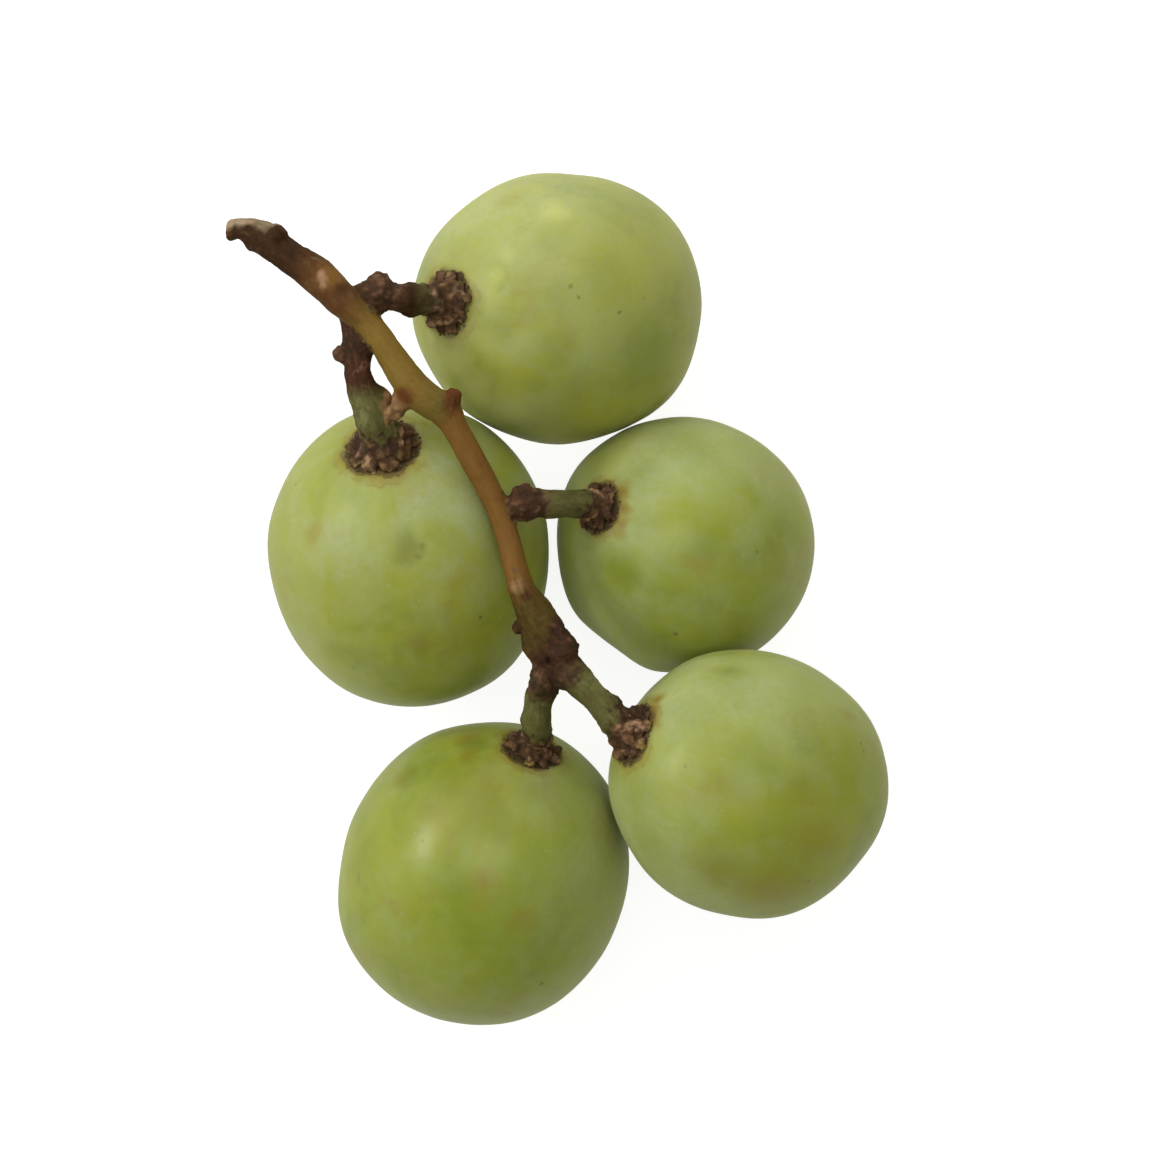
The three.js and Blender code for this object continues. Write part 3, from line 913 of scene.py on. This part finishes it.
def dress_skin(tree, shader, marks):
    """Thin translucent skin under a cloudy bloom, with marks at points seen from above; some of the
    marks are painted light and painted shade.
    """
    place = object_place(tree)
    own = surface(tree, "own_place", "Vector")
    ripe = (clouds(place, *PATTERNS["ripe"]) - 0.5).scaled(0.6, surface(tree, "ripeness"), clamp=True)

    # Faint pale veins run from the stalk to the blossom end.
    x, y, up = own.parts()
    flat = joined(x, y)
    across, along, _ = vector("NORMALIZE", flat).parts()
    veins = noise(joined(across, along, up * VEIN_STRETCH), *PATTERNS["veins"])

    # The bloom lies in clouds, thickest towards the stalk, laid thicker at given spots and rubbed off
    # in places; some of those spots lighten the skin as painted light.
    cloud = clouds(place, *PATTERNS["bloom"])
    film = cloud.scaled(0.5, 0.3) * up.fade(*BLOOM_SPAN).scaled(0.7, 0.3)
    film = film * clouds(place, *PATTERNS["wiped"]).fade(0.2, 0.65)
    broad = shaken(place, *SHAKES["bloom"])
    film = film + cloud.scaled(0.3, spots(broad, marks["blooms"])) * 0.5
    film = film * (1.0 - spots(broad, marks["rubs"]))
    film = calc("MULTIPLY", film, surface(tree, "bloom"), clamp=True)
    film = film * noise(place, *PATTERNS["grain"]).scaled(1.8, 0.1)

    # Cork and stain lie round the stalk's foot, with a few broken rings.
    wobble = noise(place, *PATTERNS["wobble"])
    edge = (wobble - 0.5).scaled(0.55, surface(tree, "cap_share"))
    patchy = noise(place, *PATTERNS["halo"]).fade(0.4, 0.62)
    rings = calc("SINE", edge * RING_PITCH).fade(0.0, 0.9) * edge.fade(1.34, 1.1, 0.6) * patchy
    rim = edge.fade(1.04, 0.9)

    # The blossom end keeps a small brown scar in a paler ring.
    tip_reach = vector("LENGTH", flat)
    tip_side = up.fade(*SCAR_SPAN)

    # Breathing pores are fine pale dots, and a few have gone brown.
    pores = dots(place, *PATTERNS["pores"])
    brown_pores = dots(place, *PATTERNS["brown_pores"])
    small, large = shaken(place, *SHAKES["small"]), shaken(place, *SHAKES["large"])

    colour = painted(mixed(ripe, SKIN_GREEN, SKIN_YELLOW), [
        (clouds(place, *PATTERNS["olive"]).fade(0.45, 0.95, 0.4), SKIN_OLIVE),
        (clouds(place, *PATTERNS["amber"]).fade(0.5, 1.0, 0.4), SKIN_AMBER),
        (veins.fade(0.45, 0.75, 0.16), BLOOM),
        (film, BLOOM),
        (edge.fade(1.5, 0.95, 0.75) * patchy.scaled(0.65, 0.35), HALO_OCHRE),
        (rings, HALO_BROWN),
        (rim, HALO_BROWN),
        (tip_reach.fade(2.4, 0.7, 0.4) * tip_side, SKIN_AMBER),
        (tip_reach.fade(0.62, 0.4) * tip_side, HALO_BROWN),
        (pores * 0.26, BLOOM),
        (brown_pores * 0.45, SPECK_BROWN),
        # Painted light: paler patches and painted highlights.
        (spots(large, marks["pales"]), SKIN_PAINTED_LIGHT),
        (spots(large, marks["ambers"]), SKIN_AMBER),
        # Olive smudges, the broad ones painted shade.
        (spots(large, marks["smudges"]), SKIN_OLIVE),
        (spots(small, marks["stains"]), STAIN_BROWN),
        (spots(small, marks["specks"]), SPECK_BROWN),
    ])

    rough = wobble.scaled(0.1, film.scaled(0.4, 0.33))
    relief = noise(place, *PATTERNS["skin_relief"]) * 0.5 + rings * -1.2
    fill(shader, {
        "Base Color": colour,
        "Roughness": rim.scaled(0.3, rough, clamp=True),
        "Coat Weight": film.scaled(-0.75, 0.38, clamp=True),
        "Normal": bumped(tree, 0.35, 0.00006, relief),
        "Coat Roughness": 0.24,
        "Coat IOR": 1.4,
        "Subsurface Weight": 0.85,
        "Subsurface Radius": (1.0, 1.0, 0.35),
        "Subsurface Scale": 0.0028,
        "IOR": 1.41,
        "Specular Tint": (1.0, 1.0, 0.72, 1.0),
        "Sheen Weight": 0.08,
        "Sheen Roughness": 0.5,
        "Sheen Tint": (1.0, 1.0, 0.8, 1.0),
    })


# ---- Making the berries ----

def sight_points(skins, marks):
    """Where the marks seen from above lie on the berries: (point, radius, strength)."""
    found = []
    start = eye * MM
    for x, y, radius, strength in marks:
        aim = (Vector((x, y, SIGHT_HEIGHT)) + plan_shift) * MM
        hits = [tree.ray_cast(start, (aim - start).normalized()) for tree in skins.values()]
        hits = [hit for hit in hits if hit[0] is not None]
        if hits:
            nearest = min(hits, key=lambda hit: hit[3])
            found.append((nearest[0], radius * MM, strength))
    return found


def surface_tree(piece):
    """A piece's faces, ready to be looked up along rays."""
    corners = [vertex.co for vertex in piece.data.vertices]
    return BVHTree.FromPolygons(corners, [face.vertices for face in piece.data.polygons])


skin, skin_nodes, skin_shader = new_material("grape_skin")
berry_form = berry_tree(skin)
berries = {name: grown("grape_" + name, berry_form, berry_values(name)) for name in BERRIES}
skins = {name: surface_tree(piece) for name, piece in berries.items()}
dress_skin(skin_nodes, skin_shader,
           {kind: sight_points(skins, marks) for kind, marks in MARKS.items()})


# ---- The stem ----

def smooth_share(value, zero, one):
    """0 at zero, rising smoothly to 1 at one, for arrays."""
    share = np.clip((value - zero) / (one - zero), 0.0, 1.0)
    return share * share * (3 - 2 * share)


def stem_body():
    """An evenly divided, rounded copy of the stem's solid, in millimetres."""
    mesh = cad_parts["stem"].data.copy()
    mesh.transform(Matrix.Scale(1 / MM, 4))
    whole = bmesh.new()
    whole.from_mesh(mesh)
    bmesh.ops.remove_doubles(whole, verts=whole.verts, dist=0.001)
    whole.to_mesh(mesh)
    whole.free()
    body = bpy.data.objects.new("stem_body", mesh)
    bpy.context.scene.collection.objects.link(body)
    even = body.modifiers.new("even", "REMESH")
    even.mode = "VOXEL"
    even.voxel_size = STEM_VOXEL
    melt = body.modifiers.new("melt", "SMOOTH")
    melt.factor = 0.5
    melt.iterations = STEM_SMOOTHING
    depsgraph = bpy.context.evaluated_depsgraph_get()
    made = bpy.data.meshes.new_from_object(body.evaluated_get(depsgraph), depsgraph=depsgraph)
    bpy.data.objects.remove(body)
    return made


def cap_point(name):
    """Where a berry's stalk meets its skin, in millimetres."""
    berry = BERRIES[name]
    return centre_of(name) + way(berry["heading"], berry["rise"]) * berry["half_length"]


def tone_of(name):
    """A tone's colour and how rough its bark is, as four numbers."""
    code, roughness = TONES[name]
    return np.array([*paint(code)[:3], roughness])


def reach_from(places, point):
    """How far each place lies from a point of the plan."""
    return np.linalg.norm(places - np.array(Vector(point) + plan_shift), axis=1)


def limbs():
    """Every limb as a list of points [x, y, z, radius] in the frame, and their tones."""
    routes = [(MAIN_STEM, None)]
    routes += [(route, name) for name, route in STALKS.items()]
    routes += [(route, None) for route in BROKEN_STALKS]
    for route, berry_name in routes:
        points = [[*(Vector(point[:3]) + plan_shift), point[3]] for point in route]
        tones = [point[4] for point in route]
        if berry_name:
            points.insert(0, [*cap_point(berry_name), BERRIES[berry_name]["cap_radius"]])
            tones.insert(0, "green_neck")
        yield np.array(points), np.array([tone_of(tone) for tone in tones])


def limb_attributes(places):
    """For each vertex, its place on the nearest limb (round it twice, and along it in
    millimetres), that limb's tone there, and its reach from the middle of the cut end."""
    count = len(places)
    nearest = np.full(count, np.inf)
    around = np.zeros((count, 3))
    tone = np.zeros((count, 4))
    start_reach = np.full(count, FAR)
    for number, (points, tones) in enumerate(limbs()):
        passed = 0.0
        for i in range(len(points) - 1):
            start, end = points[i, :3], points[i + 1, :3]
            step = end - start
            length = np.linalg.norm(step)
            share = np.clip((places - start) @ step / length ** 2, 0.0, 1.0)
            out = places - (start + share[:, None] * step)
            radius = points[i, 3] + share * (points[i + 1, 3] - points[i, 3])
            depth = np.linalg.norm(out, axis=1) / radius
            closer = depth < nearest
            side = np.cross(step / length, (0.0, 0.0, 1.0))
            side /= np.linalg.norm(side)
            top = np.cross(side, step / length)
            turned = np.stack([out @ side, out @ top], axis=1)
            turned /= np.maximum(np.linalg.norm(turned, axis=1, keepdims=True), 1e-6)
            nearest[closer] = depth[closer]
            around[closer, :2] = turned[closer]
            around[closer, 2] = passed + share[closer] * length + LIMB_STRIDE * number
            tone[closer] = (tones[i] + share[:, None] * (tones[i + 1] - tones[i]))[closer]
            if number == 0 and i == 0:
                behind = (places - start) @ (step / length) < CUT_DEPTH
                start_reach[behind] = depth[behind]
            passed += length
    return around, tone, start_reach


def cork_attributes(places, tone):
    """For each vertex: how corky it is, how warty, how near the rim of a cap, and the tone
    with the knots' own laid over it."""
    cork, warts, rim = (np.zeros(len(places)) for _ in range(3))
    broad, fine = CORK_WAVES
    ripple = np.sin(places * broad).prod(axis=1) + 0.5 * np.sin(places * fine + 1.0).prod(axis=1)
    for x, y, z, radius, name, warty in KNOTS:
        away = reach_from(places, (x, y, z)) * (1 + KNOT_RIPPLE * ripple)
        share = smooth_share(away, *(edge * radius for edge in KNOT_EDGE))
        tone += share[:, None] * (tone_of(name) - tone)
        warts = np.maximum(warts, share * warty)
    for name, berry in BERRIES.items():
        out = places - np.array(cap_point(name))
        axis = np.array(way(berry["heading"], berry["rise"]))
        high = out @ axis / berry["cap_radius"] + CORK_RIPPLE * ripple
        wide = np.linalg.norm(out - np.outer(out @ axis, axis), axis=1) / berry["cap_radius"]
        top = berry["cork_top"]
        share = smooth_share(high, top, top - CORK_FADE) * smooth_share(wide, *CORK_EDGE)
        share = np.where(np.abs(high) < CORK_REACH, share, 0.0)
        cork = np.maximum(cork, share)
        rim = np.maximum(rim, share * smooth_share(wide, *RIM_EDGE))
    return cork, np.maximum(warts, cork), rim, tone


def pulled(places):
    """The vertices, drawn softly towards where PULLS takes them."""
    drawn = places.copy()
    for x, y, z, reach, *pull in PULLS:
        away = reach_from(places, (x, y, z))
        drawn += np.exp(-((away / reach) ** 2))[:, None] * np.array(pull)
    return drawn


def flap_points():
    """Points on the skin in a ring round each stalk's foot, in millimetres, each with the
    way out from the stalk, the way up from the skin and its size."""
    draw = random.Random(FLAP_SEED)
    for name, berry in BERRIES.items():
        axis = way(berry["heading"], berry["rise"])
        side = axis.orthogonal().normalized()
        start = cap_point(name) + axis * FLAP_DROP
        for number in range(FLAP_COUNT):
            turn = 2 * math.pi * (number + draw.uniform(-FLAP_STRAY, FLAP_STRAY)) / FLAP_COUNT
            out = side * math.cos(turn) + axis.cross(side) * math.sin(turn)
            spread = draw.uniform(1 - FLAP_SPREAD, 1 + FLAP_SPREAD)
            reach = berry["cap_radius"] * FLAP_PLACE * spread
            point, up = skins[name].ray_cast((start + out * reach) * MM, -axis)[:2]
            yield point / MM, out, up, FLAP_SIZE * draw.uniform(*FLAP_SHARES)


def stem_start():
    """The stem's body with what its bark and its colours follow, and a loose vertex for
    each flap of cork."""
    mesh = stem_body()
    places = np.empty(len(mesh.vertices) * 3, np.float32)
    mesh.vertices.foreach_get("co", places)
    places = pulled(places.reshape(-1, 3).astype(float))
    points, outs, ups, flap_sizes = zip(*flap_points())
    count = len(points)
    mesh.vertices.add(count)
    around, tone, start_reach = limb_attributes(places)
    cork, warts, rim, tone = cork_attributes(places, tone)
    mesh.vertices.foreach_set("co", np.vstack([places, points]).astype(np.float32).ravel())

    none = np.zeros((len(places), 3))
    zero = [0.0] * count
    for name, kind, field, on_body, on_flaps in (
        ("limb_place", "FLOAT_VECTOR", "vector", around, [(0.0, 0.0, 0.0)] * count),
        ("tone", "FLOAT_COLOR", "color", tone, [tone_of("cork")] * count),
        ("cork", "FLOAT", "value", cork, zero),
        ("warts", "FLOAT", "value", warts, zero),
        ("rim", "FLOAT", "value", rim, zero),
        ("cut_reach", "FLOAT", "value", start_reach, [FAR] * count),
        ("flap", "FLOAT", "value", none[:, 0], flap_sizes),
        ("flap_out", "FLOAT_VECTOR", "vector", none, outs),
        ("flap_up", "FLOAT_VECTOR", "vector", none, ups),
    ):
        values = np.concatenate([on_body, np.array(on_flaps, dtype=float)])
        mesh.attributes.new(name, kind, "POINT").data.foreach_set(
            field, np.ascontiguousarray(values, dtype=np.float32).ravel()
        )
    return mesh


def stem_tree(material):
    """Lays ridges, cobbles and lumps of cork on the stem's body and flaps of cork round
    its feet, in millimetres, and brings it all to metres."""
    inputs = {"Geometry": GEOMETRY, **STEM_VALUES}
    tree, size, result = new_tree("grape_stem", "GeometryNodeTree", inputs, "Geometry", GEOMETRY)
    place = put(tree, "GeometryNodeInputPosition")["Position"]
    normal = put(tree, "GeometryNodeInputNormal")["Normal"]
    tone = attribute(tree, "tone", "FLOAT_COLOR")
    bark = put(tree, "FunctionNodeSeparateColor", {0: tone})["Alpha"]
    flap_size = attribute(tree, "flap")
    split = put(tree, "GeometryNodeSeparateGeometry",
                {"Geometry": size["Geometry"], "Selection": calc("GREATER_THAN", flap_size, 0.1)},
                domain="POINT")

    stretched = vector("MULTIPLY", attribute(tree, "limb_place", "FLOAT_VECTOR"), RIDGE_STRETCH)
    ridge = (noise(stretched, *PATTERNS["ridges"]) - 0.5) * (bark * bark)
    pit = noise(place, *PATTERNS["pits"]) - 0.5
    lift = (ridge + pit * bark.scaled(0.8, 0.2)) * size["Ridge Height"]
    sway = vector("SCALE", noise(place, *PATTERNS["sway"], output="Color"), COBBLE_SWAY)
    bent = vector("ADD", place, sway)

    def cobbles(share):
        """Rounded cells of a share of the cobbles' size: how high, about 0."""
        scale = 1.0 / share / size["Cobble Size"]
        cells = put(tree, "ShaderNodeTexVoronoi",
                    {"Vector": bent, "Scale": scale, "Smoothness": 0.45}, feature="SMOOTH_F1")
        return 0.5 - cells["Distance"]

    cobble = cobbles(SMALL_COBBLE).scaled(SMALL_RISE, cobbles(1.0))
    warts = cobble * size["Cobble Height"] * attribute(tree, "warts")
    body = stored(split["Inverted"], "cobble", cobble)
    body = stored(body, "ridge", ridge)
    body = moved(body, Offset=vector("SCALE", normal, lift + warts))

    inside = attribute(tree, "rim").fade(0.75, 0.3)
    scatter = put(tree, "GeometryNodeDistributePointsOnFaces",
                  {"Mesh": body, "Distance Min": size["Lump Spacing"], "Density Max": LUMP_DENSITY,
                   "Density Factor": attribute(tree, "cork").fade(0.7, 1.0) * inside,
                   "Seed": size["Seed"]}, distribute_method="POISSON")
    cube = put(tree, "GeometryNodeMeshCube", {f"Vertices {axis}": 3 for axis in "XYZ"})
    ball = moved(cube["Mesh"], Position=vector("NORMALIZE", place))
    crumb = stored(ball, "crumb_high", place.parts()[2])

    def drawn(low, high, extra):
        """A random vector for each point or crumb, from low to high."""
        return put(tree, "FunctionNodeRandomValue",
                   {0: low, 1: high, "Seed": size["Seed"] + extra}, data_type="FLOAT_VECTOR")[0]

    def laid(points, rotation, scale):
        return put(tree, "GeometryNodeInstanceOnPoints",
                   {"Points": points, "Instance": crumb, "Rotation": rotation, "Scale": scale})[0]

    lump_scale = vector("SCALE", drawn(*LUMP_SHAPES, 1.0), size["Lump Radius"])
    sunk = vector("SCALE", scatter["Normal"], size["Lump Radius"] * -LUMP_DEPTH)
    lumps = laid(moved(scatter["Points"], Offset=sunk), scatter["Rotation"], lump_scale)
    turn = put(tree, "FunctionNodeAxesToRotation",
               {"Primary Axis": attribute(tree, "flap_up", "FLOAT_VECTOR"),
                "Secondary Axis": attribute(tree, "flap_out", "FLOAT_VECTOR")},
               primary_axis="Z", secondary_axis="X")
    flap_scale = vector("SCALE", drawn(*FLAP_SHAPES, 2.0), size["Flap Length"] * flap_size)
    flaps = laid(split["Selection"], turn["Rotation"], flap_scale)

    def together(*pieces):
        both = tree.nodes.new("GeometryNodeJoinGeometry")
        for piece in pieces:
            tree.links.new(piece.socket, both.inputs["Geometry"])
        return Outputs(both)["Geometry"]

    tint = drawn((0, 0, 0), (1, 1, 1), 3.0).parts()[0]
    crumbs = stored(together(flaps, lumps), "crumb", 1.0, domain="INSTANCE")
    crumbs = stored(crumbs, "crumb_tone", tint, domain="INSTANCE")
    crumbs = put(tree, "GeometryNodeRealizeInstances", {"Geometry": crumbs})["Geometry"]
    uneven = vector("SCALE", centred_colour(place, *PATTERNS["uneven"]), size["Unevenness"])
    crumbs = moved(crumbs, Offset=uneven)
    metres = put(tree, "GeometryNodeTransform",
                 {"Geometry": together(crumbs, body), "Scale": (MM, MM, MM)})["Geometry"]
    result(dressed(metres, material))
    return tree


def bark_material():
    """Smooth young wood that turns to bark, with corky caps and a sawn end."""
    material, tree, shader = new_material("stem_bark")
    place = object_place(tree)
    cork, ridge, rim, cobble, crumb_tone, cut = (
        surface(tree, name) for name in ("cork", "ridge", "rim", "cobble", "crumb_tone", "cut_reach")
    )
    tone, bark = surface(tree, "tone", "Color"), surface(tree, "tone", "Alpha")

    stretched = vector("MULTIPLY", surface(tree, "limb_place", "Vector"), STREAK_STRETCH)
    streak = noise(stretched, *PATTERNS["streaks"])
    patches = clouds(place, *PATTERNS["patches"])
    blotches = clouds(place, *PATTERNS["pink_bark"])
    green_wood = bark.fade(0.2, 0.45) * bark.fade(0.7, 0.5)

    dark = streak.fade(0.6, 0.36, 0.7) * bark.scaled(0.75, 0.1)
    wood = mixed(dark, tone, mixed(1.0, tone, STREAK_SHADE, "MULTIPLY"))
    wood = painted(wood, [
        ((streak + ridge).fade(0.56, 0.8, 0.22) * bark.scaled(0.1, 0.3), STREAK_PALE),
        (blotches.fade(0.55, 0.95, 0.75) * bark.fade(0.6, 0.9), BARK_PINK),
    ])
    patchy = patches.fade(0.5, 1.0, 0.6) * bark.scaled(0.8, 0.3)
    wood = mixed(patchy, wood, mixed(1.0, wood, PATCH_SHADE, "MULTIPLY"))
    wood = painted(wood, [
        (patches.fade(0.42, 0.1, 0.4) * green_wood, NECK_PALE),
        (dots(place, *PATTERNS["bark_dots"]) * bark.scaled(0.4, 0.1), CORK_DARK),
    ])

    # Cork is brown with plum, green and pinkish patches and ochre round the rim of a cap. The
    # cobbles' tops are painted paler as a painted highlight; the gaps between them and the crumbs'
    # bases are painted shade.
    grit = noise(place, *PATTERNS["grit"])
    pink = clouds(place, *PATTERNS["pink_cork"])
    cork_tone = painted(TONES["cork"][0], [
        (patches.fade(0.45, 0.7, 0.85), CORK_PLUM),
        (pink.fade(0.5, 0.85, 0.75), CORK_PALE),
        (patches.fade(0.6, 0.3) * cork.fade(1.0, 0.55, 0.85), CORK_GREEN),
        (rim * pink.fade(0.35, 0.6, 0.8), FLAP_OCHRE),
        # Painted highlight: paler on the cobbles' tops, in specks of grit.
        (cobble.fade(0.2, 0.5, 0.4) * grit.fade(0.3, 0.6), CORK_PALE),
    ])
    # Painted shade: the crumbs darken towards their bases, where they sink into the cork.
    low = surface(tree, "crumb_high").fade(0.85, 0.1, 0.7)
    crumb_colour = painted(cork_tone, [
        (crumb_tone.fade(0.45, 1.0, 0.65), CORK_PALE),
        (surface(tree, "flap").fade(0.1, 0.5) * crumb_tone.fade(0.15, 0.6, 0.9), FLAP_OCHRE),
        (calc("MAXIMUM", low, grit.fade(0.6, 0.36, 0.5)), CORK_DARK),
    ])
    colour = painted(wood, [
        (cork.fade(0.12, 0.95), cork_tone),
        # Painted shade in the gaps between the cobbles.
        (cobble.fade(0.25, -0.1, 0.75) * surface(tree, "warts").fade(0.1, 0.6), CORK_DARK),
        (surface(tree, "crumb") * 0.95, crumb_colour),
        (cut.fade(1.02, 0.9), mixed(cut.fade(0.55, 0.85), WOOD_PALE, WOOD_RING)),
    ])

    rough = bark.scaled(0.25, noise(place, *PATTERNS["gloss"]).scaled(0.2, 0.42))
    relief = grit.scaled(0.5, streak * bark.scaled(0.85, 0.15))
    fill(shader, {
        "Base Color": colour,
        "Roughness": cork.scaled(0.15, rough, clamp=True),
        "Normal": bumped(tree, 0.6, 0.00012, relief),
        "Specular IOR Level": 0.18,
        "Specular Tint": (1.0, 0.88, 0.66, 1.0),
    })
    return material


stem = grown("grape_stem", stem_tree(bark_material()), STEM_VALUES, stem_start())


# ---- Floor, light and camera ----

def glowing(tree, node, socket, colours, strengths):
    """Gives a node one glow as it falls on the bunch and another as the camera sees it."""
    seen = put(tree, "ShaderNodeLightPath")["Is Camera Ray"]
    fallen, looked_at = strengths
    fill(node, {socket + "Color": mixed(seen, *colours),
                socket + "Strength": seen.scaled(looked_at - fallen, fallen)})


def floor_piece():
    material, tree, shader = new_material("pale_floor")
    fill(shader, {"Base Color": paint(FLOOR_GREY), "Roughness": 0.9, "Specular IOR Level": 0.1})
    glowing(tree, shader, "Emission ", (BOUNCE_COLOUR, WHITE), (FLOOR_BOUNCE, FLOOR_GLOW))
    mesh = bpy.data.meshes.new("floor")
    corners = [(x * FLOOR_HALF, y * FLOOR_HALF, -FLOOR_DROP)
               for x, y in ((-1, -1), (1, -1), (1, 1), (-1, 1))]
    mesh.from_pydata(corners, [], [(0, 1, 2, 3)])
    mesh.materials.append(material)
    piece = bpy.data.objects.new("floor", mesh)
    bpy.context.scene.collection.objects.link(piece)
    return piece


def area_light(name, heading, rise, distance, width, height, power):
    """A soft oblong light that faces the bunch."""
    data = bpy.data.lights.new(name, "AREA")
    data.shape = "RECTANGLE"
    data.size = width
    data.size_y = height
    data.energy = power
    light = bpy.data.objects.new(name, data)
    from_bunch = way(heading, rise)
    light.location = from_bunch * distance + Vector((0, 0, SIGHT_HEIGHT * MM))
    light.rotation_euler = from_bunch.to_track_quat("Z", "Y").to_euler()
    bpy.context.scene.collection.objects.link(light)


def set_scene():
    scene = bpy.context.scene
    floor_piece()
    for light in LIGHTS:
        area_light(*light)
    world = bpy.data.worlds.new("studio")
    world.use_nodes = True
    tree = world.node_tree
    glowing(tree, tree.nodes["Background"], "", (ROOM_COLOUR, WHITE), (ROOM_GLOW, 1.0))
    scene.world = world
    scene.view_settings.view_transform = "Standard"

    data = bpy.data.cameras.new("above")
    data.sensor_width = SENSOR_WIDTH
    data.lens = SENSOR_WIDTH * (EYE[2] - SIGHT_HEIGHT) / SIGHT_WIDTH
    data.clip_start = 0.01
    camera = bpy.data.objects.new("above", data)
    camera.location = eye * MM
    scene.collection.objects.link(camera)
    scene.camera = camera


set_scene()

# ---- What stands for what ----

for berry_name, piece in berries.items():
    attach(piece, "root")
    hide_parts(berry_name)
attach(stem, "root")
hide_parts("stem")
